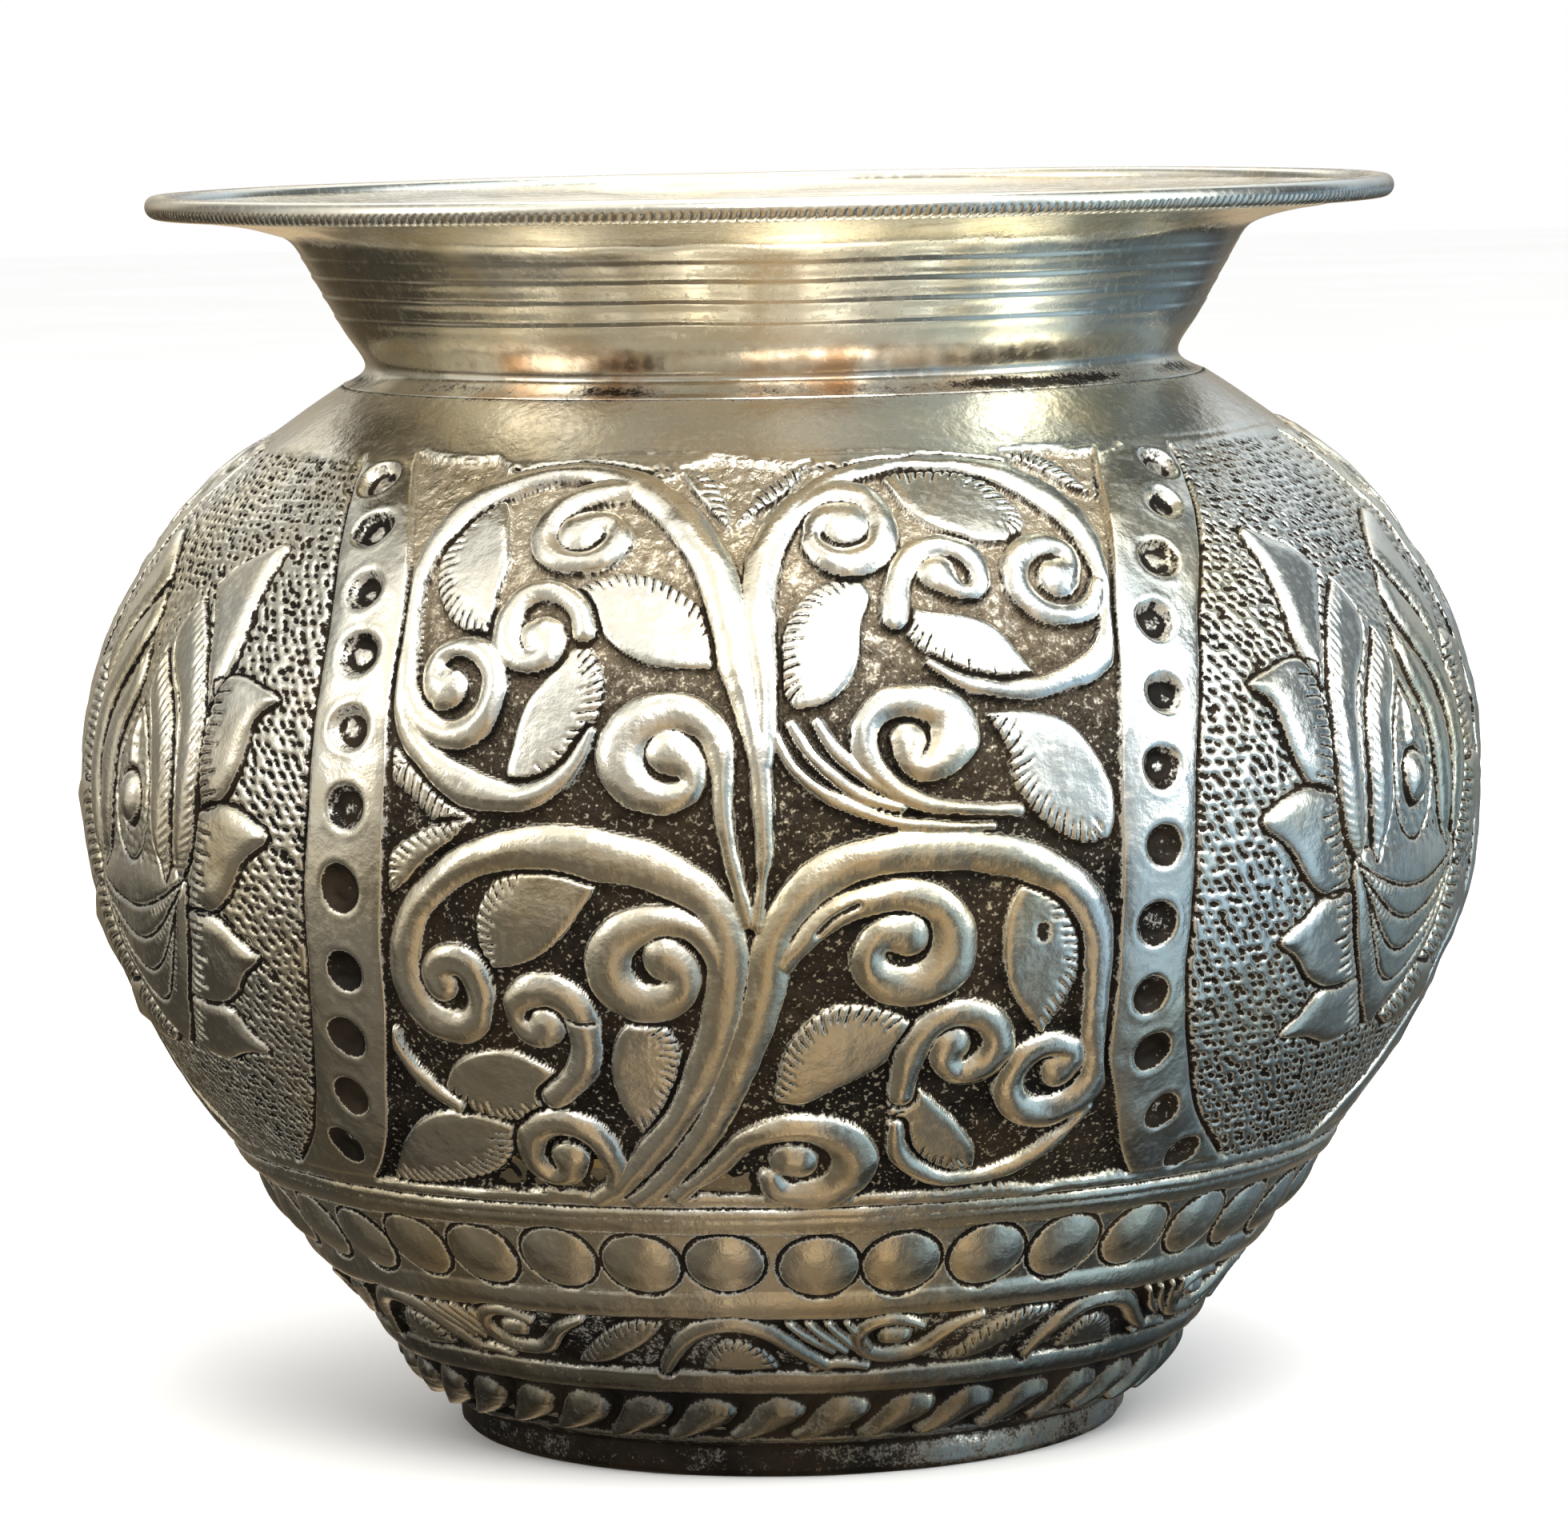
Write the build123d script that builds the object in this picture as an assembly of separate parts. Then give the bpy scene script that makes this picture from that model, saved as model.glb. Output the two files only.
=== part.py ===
from build123d import *
import math
import os

# Chased lota (kalash): a round-bellied puja water pot of silver-plated brass sheet.
# Hammered and spun shells, brazed together: a flared neck with an everted brim, a rim bead,
# a belly shell, a closed base bowl and a foot ring.
# Frame: origin on the pot's axis in the plane of the foot, +Z up towards the mouth. Millimetres.

# ---- walls and lips ----
SHEET = 1.0             # wall of the belly and base
NECK_SHEET = 1.0        # wall of the spun neck
LIP_SHEET = 0.8         # wall of the thinned lips that run inside the belly shell
LIP_GAP = 0.03          # play between a lip and the shell around it
LIP_LENGTH = 3.2        # how far a lip runs past the joint, along the wall

# ---- overall form ----
OVERALL_HEIGHT = 124.56
BELLY_RADIUS = 70.0
BELLY_LEVEL = 66.3      # height of the widest point
RIM_RADIUS = 62.22      # outside of the rim bead
RIM_BEAD_RADIUS = 1.22  # half the thickness of the rim bead
THROAT_RADIUS = 40.7    # outside of the narrowest point of the neck
THROAT_LEVEL = 107.0
JOINT_RADIUS = 43.0     # where the neck meets the shoulder
JOINT_LEVEL = 105.3
SEAM_RADIUS = 56.1      # where the belly shell meets the base bowl
SEAM_LEVEL = 30.3

# ---- foot and floor ----
FOOT_HEIGHT = 3.4
FOOT_OUTER = 33.7
FOOT_INNER = 31.2
FLOOR_RADIUS = 28.0     # edge of the sprung middle of the floor
BASE_DOME = 1.3         # rise of the middle of the floor, which keeps it clear of the table
HALFWAY_RISE = 0.72     # share of the rise reached at half the floor radius
FLOOR_CORNER_INSET = 1.6  # from the foot of the inner wall in to the flat of the floor

# ---- brazing and solder ----
THROAT_BRAZE_LEG = 2.2  # how far a run spreads along the belly wall past the lip
SEAM_BRAZE_LEG = 2.4
BRAZE_CROWN = 0.35      # how far the free face stands proud of a straight chamfer
FOOT_SOLDER_LEG = 1.4
FOOT_SOLDER_SAG = 0.25  # hollow of the solder's free face

# ---- raised plain fillets round the bowl ----
BAND_FILLETS = [(28.9, 1.1), (19.2, 1.2), (10.9, 1.0)]  # (level, half width)
FILLET_RISE = 0.35
FILLET_ROOT = 0.3       # how deep the edges of a fillet are sunk into the wall

# ---- inner outline starts: height above the part's lowest inner edge ----
BOWL_CORNER_HEIGHT = 0.9
NECK_CORNER_HEIGHT = 1.2

# ---- point spacing on the smoothed outlines ----
BODY_STEP = 1.5
NECK_STEP = 1.2

# ---- outer outlines, each from the bottom up: (radius, height) ----
BOWL_OUTLINE = [
    (34.35, FOOT_HEIGHT), (35.5, 4.0), (36.9, 5.0), (38.3, 6.6), (39.7, 8.6), (41.2, 10.6),
    (43.1, 13.1), (45.0, 15.5), (47.7, 18.7), (50.8, 22.7), (54.2, 27.6),
    (SEAM_RADIUS, SEAM_LEVEL),
]
BELLY_OUTLINE = [
    (SEAM_RADIUS, SEAM_LEVEL), (57.6, 32.4), (61.0, 37.3), (63.8, 42.1), (66.2, 46.9),
    (68.05, 51.8), (69.25, 56.6), (69.85, 61.5), (BELLY_RADIUS, BELLY_LEVEL), (69.65, 71.1),
    (68.6, 76.0), (66.9, 80.8), (64.4, 85.6), (61.15, 90.5), (57.4, 94.6), (53.2, 98.2),
    (49.1, 101.2), (45.8, 103.5), (JOINT_RADIUS, JOINT_LEVEL),
]
# From the shoulder joint over the throat, the flare and the underside of the brim.
NECK_OUTLINE = [
    (JOINT_RADIUS, JOINT_LEVEL), (41.6, 105.95), (THROAT_RADIUS, THROAT_LEVEL), (41.15, 108.3),
    (42.5, 110.2), (43.9, 112.7), (45.4, 115.5), (46.9, 118.2), (48.0, 119.7), (50.2, 120.6),
    (54.4, 121.5), (58.0, 122.1), (60.05, 122.55),
]
# Closed section of the foot ring, with its lower edges eased.
FOOT_OUTLINE = [
    (FOOT_INNER, FOOT_HEIGHT), (FOOT_INNER, 0.5), (FOOT_INNER + 0.5, 0.0),
    (FOOT_OUTER - 0.9, 0.0), (FOOT_OUTER - 0.15, 0.7), (FOOT_OUTER, 1.9),
    (FOOT_OUTER - 0.15, FOOT_HEIGHT),
]


# ---- section drawing: points are (radius, height) in the XZ plane ----

def spline(points):
    return Spline(*[(x, 0, z) for x, z in points])


def line(start, end):
    return Line((start[0], 0, start[1]), (end[0], 0, end[1]))


def arc(start, middle, end):
    return ThreePointArc(*[(x, 0, z) for x, z in (start, middle, end)])


def spun(*edges):
    """The closed outline turned all the way round Z."""
    face = make_face(Wire(list(edges)).edges())
    return revolve(face, Axis.Z, 360)


def spun_polygon(points):
    return spun(*[line(start, end) for start, end in zip(points, points[1:] + points[:1])])


def smoothed(outline, step):
    """Evenly spaced points on the smooth curve through the outline."""
    curve = spline(outline)
    count = max(4, int(round(curve.length / step)))
    found = [curve @ (i / count) for i in range(count + 1)]
    return [(point.X, point.Z) for point in found]


def offset_path(path, amount):
    """Points moved left of the path's direction: inward, for a path that runs upward."""
    moved = []
    last = len(path) - 1
    for i, (x, z) in enumerate(path):
        before, after = path[max(0, i - 1)], path[min(last, i + 1)]
        if 0 < i < last:
            # The sum of the two unit directions bisects the bend.
            back, ahead = math.dist(before, path[i]), math.dist(path[i], after)
            run = (x - before[0]) / back + (after[0] - x) / ahead
            rise = (z - before[1]) / back + (after[1] - z) / ahead
        else:
            run, rise = after[0] - before[0], after[1] - before[1]
        length = math.hypot(run, rise)
        moved.append((x - rise / length * amount, z + run / length * amount))
    return moved


def first_stretch(path, length):
    """The start of the path, cut off at the given length."""
    stretch, left = [path[0]], length
    for start, end in zip(path, path[1:]):
        step = math.dist(start, end)
        if step >= left:
            share = left / step
            stretch.append(tuple(a + (b - a) * share for a, b in zip(start, end)))
            return stretch
        stretch.append(end)
        left -= step
    return stretch


# ---- shared curves ----
bowl_out = smoothed(BOWL_OUTLINE, BODY_STEP)
belly_out = smoothed(BELLY_OUTLINE, BODY_STEP)
neck_out = smoothed(NECK_OUTLINE, NECK_STEP)
belly_in = offset_path(belly_out, SHEET)

# Both lips follow the inside of the belly shell: the base's up from the seam,
# the neck's flange down from the joint.
lip_outer_face = offset_path(belly_out, SHEET + LIP_GAP)
lip_inner_face = offset_path(belly_out, SHEET + LIP_GAP + LIP_SHEET)
lip_out = first_stretch(lip_outer_face, LIP_LENGTH)
lip_in = first_stretch(lip_inner_face, LIP_LENGTH)
flange_out = first_stretch(lip_outer_face[::-1], LIP_LENGTH)
flange_in = first_stretch(lip_inner_face[::-1], LIP_LENGTH)


# ---- pieces ----

def make_belly_shell():
    return spun(
        spline(belly_out),
        line(belly_out[-1], belly_in[-1]),
        spline(belly_in[::-1]),
        line(belly_in[0], belly_out[0]),
    )


def make_band_fillet(level, half_width):
    """A low rounded ridge round the outside of the bowl."""
    for low, high in zip(bowl_out, bowl_out[1:]):
        if low[1] <= level <= high[1]:
            break
    run, rise = high[0] - low[0], high[1] - low[1]
    radius = low[0] + (level - low[1]) / rise * run
    length = math.hypot(run, rise)
    run, rise = run / length, rise / length

    def from_wall(up_wall, outward):
        return (radius + run * up_wall + rise * outward, level + rise * up_wall - run * outward)

    bottom = from_wall(-half_width, -FILLET_ROOT)
    crest = from_wall(0, FILLET_RISE)
    top = from_wall(half_width, -FILLET_ROOT)
    return spun(arc(bottom, crest, top), line(top, bottom))


def make_base_bowl():
    """Wall, lip above the seam, sprung floor and raised fillets."""
    floor_under = [
        (0, FOOT_HEIGHT + BASE_DOME),
        (FLOOR_RADIUS / 2, FOOT_HEIGHT + BASE_DOME * HALFWAY_RISE),
        (FLOOR_RADIUS, FOOT_HEIGHT),
    ]
    floor_top = [(x, z + SHEET) for x, z in floor_under]
    floor_level = FOOT_HEIGHT + SHEET
    wall_in = [p for p in offset_path(bowl_out, SHEET) if p[1] > floor_level + BOWL_CORNER_HEIGHT]
    wall_in = wall_in[:-1]  # leaves room for the step across to the lip
    corner = (wall_in[0][0] - FLOOR_CORNER_INSET, floor_level)
    bowl = spun(
        line(floor_under[0], floor_top[0]),
        spline(floor_top),
        line(floor_top[-1], corner),
        line(corner, wall_in[0]),
        spline(wall_in),
        line(wall_in[-1], lip_in[0]),
        spline(lip_in),
        line(lip_in[-1], lip_out[-1]),
        spline(lip_out[::-1]),
        line(lip_out[0], bowl_out[-1]),
        spline(bowl_out[::-1]),
        line(bowl_out[0], floor_under[-1]),
        spline(floor_under[::-1]),
    )
    for level, half_width in BAND_FILLETS:
        bowl = bowl + make_band_fillet(level, half_width)
    return bowl


def make_neck_collar():
    """Flange under the shoulder, throat, flare and brim."""
    neck_in = offset_path(neck_out, NECK_SHEET)
    wall_in = [p for p in neck_in if p[1] > flange_in[0][1] + NECK_CORNER_HEIGHT]
    return spun(
        spline(neck_out),
        line(neck_out[-1], neck_in[-1]),
        spline(wall_in[::-1]),
        line(wall_in[0], flange_in[0]),
        spline(flange_in),
        line(flange_in[-1], flange_out[-1]),
        spline(flange_out[::-1]),
        line(flange_out[0], neck_out[0]),
    )


def make_rim_bead():
    """A round ring that closes the edge of the brim."""
    centre = Pos(RIM_RADIUS - RIM_BEAD_RADIUS, OVERALL_HEIGHT - RIM_BEAD_RADIUS)
    return revolve(Plane.XZ * centre * Circle(RIM_BEAD_RADIUS), Axis.Z, 360)


def make_braze(corner, wall, lip):
    """Fills the step at the end of a lip; its free face peaks two thirds of the way to the lip."""
    base = ((wall[0] + 2 * lip[0]) / 3, (wall[1] + 2 * lip[1]) / 3)
    width = math.dist(wall, lip)
    out_x, out_z = (lip[1] - wall[1]) / width, -(lip[0] - wall[0]) / width
    if (base[0] - corner[0]) * out_x + (base[1] - corner[1]) * out_z < 0:
        out_x, out_z = -out_x, -out_z
    crown = (base[0] + out_x * BRAZE_CROWN, base[1] + out_z * BRAZE_CROWN)
    return spun_polygon([corner, wall, crown, lip])


def make_seam_braze():
    """Inside, where the base bowl's lip ends against the belly wall."""
    wall = first_stretch(belly_in, LIP_LENGTH + SEAM_BRAZE_LEG)[-1]
    return make_braze(corner=lip_out[-1], wall=wall, lip=lip_in[-1])


def make_throat_braze():
    """Inside, where the neck's flange ends against the shoulder."""
    wall = first_stretch(belly_in[::-1], LIP_LENGTH + THROAT_BRAZE_LEG)[-1]
    return make_braze(corner=flange_out[-1], wall=wall, lip=flange_in[-1])


def make_foot_solder():
    """A hollow-faced run in the corner between the foot's inner wall and the floor."""
    corner = (FOOT_INNER, FOOT_HEIGHT)
    on_foot = (FOOT_INNER, FOOT_HEIGHT - FOOT_SOLDER_LEG)
    on_floor = (FOOT_INNER - FOOT_SOLDER_LEG, FOOT_HEIGHT)
    inset = FOOT_SOLDER_LEG / 2 - FOOT_SOLDER_SAG / math.sqrt(2)
    hollow = (FOOT_INNER - inset, FOOT_HEIGHT - inset)
    return spun(line(corner, on_foot), arc(on_foot, hollow, on_floor), line(on_floor, corner))


# ---- assembly: each piece is cut back where it would overlap its neighbours ----
belly_shell = make_belly_shell()
base_bowl = make_base_bowl()
neck_collar = make_neck_collar()
foot_ring = spun_polygon(FOOT_OUTLINE)

PARTS = {
    "rim_bead": make_rim_bead() - neck_collar,
    "neck_collar": neck_collar,
    "throat_braze": make_throat_braze() - neck_collar - belly_shell,
    "belly_shell": belly_shell - neck_collar,
    "seam_braze": make_seam_braze() - base_bowl - belly_shell,
    "base_bowl": base_bowl - belly_shell,
    "foot_ring": foot_ring,
    "foot_solder": make_foot_solder() - base_bowl - foot_ring,
}

os.makedirs("parts", exist_ok=True)
for name, shape in PARTS.items():
    solids = shape.solids()
    export_step(Compound(solids) if len(solids) > 1 else solids[0], f"parts/{name}.step")
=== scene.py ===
"""A chased pot of plated brass: a base bowl on a foot ring, a belly with three vine panels and
three flower panels, a spun neck with a milled rim bead, and the braze runs that join them.

The pot stands on z = 0 round the Z axis with its front towards -Y. Shapes are worked out in
millimetres and degrees, and become metres when a mesh is made. Angles are 0 at the front and
grow towards +X. A level is a length in mm up the outside of the smooth wall, and a height
is how far the chased surface stands off that wall.
"""
import math
import bpy
import numpy as np
from mathutils import Matrix, Vector


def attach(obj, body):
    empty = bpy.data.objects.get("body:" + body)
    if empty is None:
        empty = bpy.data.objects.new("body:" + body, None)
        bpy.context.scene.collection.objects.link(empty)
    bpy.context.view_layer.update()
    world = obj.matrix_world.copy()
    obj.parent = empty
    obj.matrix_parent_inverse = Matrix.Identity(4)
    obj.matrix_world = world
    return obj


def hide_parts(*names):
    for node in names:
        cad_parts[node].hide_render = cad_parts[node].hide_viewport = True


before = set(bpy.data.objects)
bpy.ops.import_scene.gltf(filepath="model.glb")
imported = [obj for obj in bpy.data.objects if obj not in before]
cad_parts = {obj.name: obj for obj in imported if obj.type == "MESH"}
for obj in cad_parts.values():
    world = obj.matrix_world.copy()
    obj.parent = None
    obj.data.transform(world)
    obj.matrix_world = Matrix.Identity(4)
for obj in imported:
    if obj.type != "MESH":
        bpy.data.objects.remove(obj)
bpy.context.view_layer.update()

MM = 0.001

COLUMNS = 2400        # round the chased sheets
ROW_PITCH = 0.2        # between rows of the outer face
INNER_SKIP = 4           # outer rows per inner row
SPUN_COLUMNS = 960     # round the neck and the foot ring
RUN_COLUMNS = 720                        # round a braze run

METAL = 1.0             # thickness of the sheet metal
GROUND = -0.80          # height of the punched ground of the vine panels
PANEL_TURN = 120        # degrees between vine panels
PANELS = range(3)
FLOWERS = (60.3, -63.6, 178.6)           # angles of the flower axes
LAP = 3.2               # length of the lips inside the belly
LAP_FACES = (-1.03, -1.83)               # heights of the two faces of a lip


# ==== tables ===========================================================================

def numbers(text):
    return [float(number) for number in text.split()]


def points(text):
    """Points from text: a point is numbers joined by commas, and spaces part the points."""
    return [tuple(float(number) for number in point.split(",")) for point in text.split()]


# Profiles, as (radius, z)
BOWL = points("""34.35,3.4 35.5,4.0 36.9,5.0 38.3,6.6 39.7,8.6 41.2,10.6 43.1,13.1 45.0,15.5
    47.7,18.7 50.8,22.7 54.2,27.6 56.1,30.3""")
BELLY = points("""57.6,32.4 61.0,37.3 63.8,42.1 66.2,46.9 68.05,51.8 69.25,56.6 69.85,61.5 70.0,66.3
    69.65,71.1 68.6,76.0 66.9,80.8 64.4,85.6 61.15,90.5 57.4,94.6 53.2,98.2 49.1,101.2
    45.8,103.5 43.0,105.3""")
NECK = BELLY[-1:] + points("""41.6,105.95 40.7,107.0 41.15,108.3 42.5,110.2 43.9,112.7 45.4,115.5
    46.9,118.2 48.0,119.7 50.2,120.6 54.4,121.5 58.0,122.1 60.05,122.55""")

# Stems and volutes of a vine panel: points as (angle, level), and half widths
STEMS = [
    ("""-1.9,69 -1.5,73 -1.3,77 -1.4,81 -1.6,84.5 -2.2,88 -3.0,92 -3.7,96 -4.4,100 -5.7,104
        -7.9,108 -10.8,111.3 -14.2,113.7 -18,115.1 -22,115.2 -26,114 -29.3,111.7 -31.5,108.5
        -32.3,105 -32.4,101 -32,97 -31.3,93 -30.6,89.5 -29.5,86.5 -27.5,84 -25,82 -22,80.9
        -19,81 -17,82.3 -15.4,84.5 -14.5,87""",
     """.5 .6 .7 .8 .9 1.1 1.3 1.55 1.7 1.75 1.7 1.6 1.5 1.15 1.05 1.2 1.4 1.25 .9 .6 .8 1.1
        1.2 1.2 1.3 1.4 1.4 1.1 .8 .6 .4"""),
    ("""-2.6,69.5 -3.4,73.5 -4.1,77.5 -4.4,81 -4.4,84.5 -5.1,87.1 -7,88.6 -9.4,88.7 -11.4,87.3
        -12.2,85.2 -11.7,82.9 -10.1,81.2 -8,80.9 -6.5,82.1 -7,84 -8.3,85""",
     ".6 .7 .8 .9 1.1 1.25 1.5 1.65 1.9 2.0 1.8 1.5 1.3 1.1 1.3 1.9"),
    ("""-11,112.2 -14,112.9 -17,112.5 -19.7,111.2 -21.2,108.8 -21.2,106.2 -19.8,104.4
        -17.6,103.9 -15.4,104.7 -14.2,106.6 -14.9,108.4 -16.8,108.6 -18.2,107.5""",
     ".9 1.1 1.3 1.35 1.3 1.3 1.25 1.2 1.2 1.1 .9 1.4 2.1"),
    ("""-15.9,96.6 -16.8,99.2 -18.4,100.6 -20,100.9 -21.7,100.1 -22.6,98.3 -22.7,96.3
        -22.1,94.5 -20.8,93.5 -19.5,93.8 -18.8,94.9 -19.3,96""",
     "1.0 1.05 1.1 1.15 1.2 1.2 1.2 1.15 1.1 1.1 1.3 2.0"),
    ("""-30.5,90.4 -29.3,88.2 -27.4,86.7 -25.4,86.6 -23.7,88 -22.9,90.4 -23.3,93 -24.9,94.6
        -26.8,94.8 -28.2,93.8 -28.2,91.8 -27.1,90.9""",
     "1.0 1.15 1.3 1.4 1.4 1.3 1.2 1.15 1.1 1.0 1.2 2.0"),
    ("""-1.3,84 -1.1,88 -1.2,92 -1.5,96 -1.5,100 -1.3,103 -0.6,106 0.6,108.7 2.5,111.2
        5.2,113.4 8.5,114.8 12,115.6 16,115.8 20,115.2 23.5,113.8 26.2,111.7 28,108.8
        28.8,105.5 28.9,102 28.9,98.5 28.3,95.5 26.8,93 24.7,91.4 22,90.5 19,90 16.5,90.3
        14,91.3 12,92.8""",
     """.8 1.0 1.2 1.35 1.4 1.45 1.5 1.5 1.3 1.1 .9 .8 .8 1.1 1.5 1.8 1.7 1.3 1.0 1.0 1.1 1.2
        1.1 .9 .8 .7 .6 .4"""),
    ("""0.9,108.8 3.2,110.9 6,111.9 8.6,110.8 9.6,108.2 9.3,105.5 7.5,103.8 5.3,103.7 3.7,105
        3.3,107 4.5,108.6 6.3,108.1""",
     "1.0 1.1 1.2 1.25 1.2 1.3 1.5 1.45 1.1 .8 1.5 2.2"),
    ("""9.6,97.4 10,100 10.9,102.6 12.6,104.5 14.7,105 16.6,104.1 17.5,102.1 17,100.2
        15.7,99.9 14.5,100.8 13.8,102""",
     ".9 1.0 1.05 1.1 1.1 1.1 1.0 .85 .8 1.2 1.7"),
    ("""28.3,100 26.9,98 24.5,97.1 22.2,97.8 20.9,99.9 21,102.4 22.4,104.2 24.6,104.6
        26.3,103.5 26,101.8 24.8,101""",
     "1.0 1.05 1.15 1.2 1.2 1.2 1.2 1.1 .9 1.2 1.9"),
    ("""12.5,79.3 10,80.3 7.9,82.1 6.6,84.6 6.7,87.3 8.2,89 10.7,89.4 13,88.3 13.4,86
        12.3,83.9 10.8,83.2 9.7,84.3 9.7,85.6""",
     ".6 .8 1.0 1.2 1.25 1.35 1.4 1.75 2.0 1.6 1.2 1.25 1.6"),
    ("-0.3,86.5 1,83.5 3,81.3 5.5,79.7 8.5,78.4 12,77.8 16,77.6", ".4 .5 .55 .55 .55 .5 .4"),
    ("0.9,87.5 2.2,84.8 4.4,82.2 6.6,80.5 9,79.6", ".5 .55 .6 .6 .5"),
    ("2.9,87.6 4,85.3 5.7,83.2 8,81.2 11,79.9 14,79.3 18,78.9", ".5 .6 .6 .6 .7 .7 .5"),
    ("""-18.5,38 -16,39.8 -13.3,42.8 -10.9,46 -8.9,49.2 -7.2,52.7 -5.8,56.5 -4.8,60.5
        -4.3,64.5 -4.3,68 -5.4,71 -7.6,73.2 -10.5,74.8 -14,75.7 -17.6,76.3 -21,76 -24.5,74.6
        -27.4,72.2 -29.4,69.2 -30.5,65.8 -30.6,62.5 -29.7,59.9 -27.9,58.5 -26,58.6 -24.6,60.4
        -24.4,63 -25.3,65.1 -26.9,65.3 -27.9,64.1 -27.6,62.7""",
     """.9 1.0 1.1 1.2 1.3 1.45 1.6 1.7 1.7 1.6 1.6 1.8 2.0 2.1 1.9 1.7 1.5 1.45 1.45 1.45 1.45
        1.6 1.65 1.4 1.15 1.15 1.1 1.15 1.25 1.45"""),
    ("""-4.8,63.5 -5.3,67 -7,69 -9.5,69.5 -12,68.3 -13.4,65.9 -13.2,63.3 -11.6,61.6 -9.5,61.5
        -8,62.7 -7.6,64.3 -9,65.9""",
     "1.0 1.2 1.25 1.3 1.65 1.95 1.95 1.85 1.7 1.4 1.35 1.95"),
    ("""-19.8,50.9 -17.6,53 -16.2,56 -16.1,59.4 -17.4,62 -19.6,62.6 -21.3,61.3 -21.5,59.2
        -20.4,58.1 -19.2,58.7""",
     "1.0 1.2 1.4 1.5 1.55 1.5 1.1 .8 1.1 1.7"),
    ("""-16.8,39.3 -15.9,41.8 -16.2,44.7 -17.5,46.9 -19.7,47.8 -22,47 -23.3,44.9 -23.2,42.4
        -21.8,40.9 -20.3,41.7 -19.9,43.3""",
     ".7 1.0 1.2 1.3 1.3 1.3 1.3 1.25 1.2 1.3 1.75"),
    ("""-14.5,37.9 -11.5,40.7 -8.9,43.9 -6.9,47.3 -5.2,51 -3.9,54.8 -2.6,58.8 -1.5,62.8
        -0.9,66.5 0.1,69.8 2.1,72.7 5,74.6 8.5,75.5 12,75.6 15.5,75.2 18.5,74.3 21.2,72.7
        23.2,70.4 24.5,67.5 24.9,64.2 25.1,60.8 25.5,57.5 26.3,54.6 26.6,51.9 25.3,49.2
        22.6,47.9 20,49.1 18.9,52 19.9,54.7 22.2,55.6 24,54.6 23.2,52.8""",
     """.9 1.1 1.3 1.4 1.5 1.6 1.7 1.75 1.7 1.6 1.6 1.7 1.75 1.75 1.7 1.6 1.5 1.45 1.4 1.35 1.3
        1.3 1.5 1.6 1.6 1.55 1.4 1.3 1.15 1.05 1.1 1.75"""),
    ("""0,65.5 1.8,68 4,70 6.6,71.3 9.4,71.6 12,70.3 13.1,67.6 12.7,64.8 10.9,63 8.5,62.8
        6.7,64.3 6.4,66.5 7.7,68 9.3,67.9""",
     "1.0 1.1 1.2 1.3 1.4 1.6 1.95 1.95 1.9 1.75 1.6 1.35 1.35 1.85"),
    ("""9.6,51 9.9,54.3 10.7,57.2 12.5,59.3 14.9,59.6 16.8,58 17.2,55.5 15.8,53.5 14,53.3
        13,54.8 13.3,56.4""",
     "1.2 1.25 1.25 1.2 1.2 1.4 1.5 1.4 1.2 1.4 1.7"),
    ("""-10.5,38.6 -8,41 -5.6,43.6 -3,46.2 0,47.3 3.3,46.9 5.5,44.9 5.9,42.1 4.3,39.8
        1.6,38.9 -1,39.6 -1.6,41.2""",
     ".7 .8 .9 1.1 1.3 1.6 1.9 1.9 1.7 1.5 1.2 .9"),
    ("0.2,43.5 0.9,43.3", "1.7 1.7"),
    ("9.3,47.5 9.6,44.8 11.3,42.2 14,40.6 17.3,40.4 20.3,41.2 23,43.1 25.2,45.5 26.8,48.3",
     ".7 .8 .8 .8 .8 .8 .7 .6 .5"),
    ("-33.6,57.5 -33.2,55 -32.3,52.7 -31,50.8 -29.3,49.3", ".55 .6 .65 .7 .6"),
]

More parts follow.
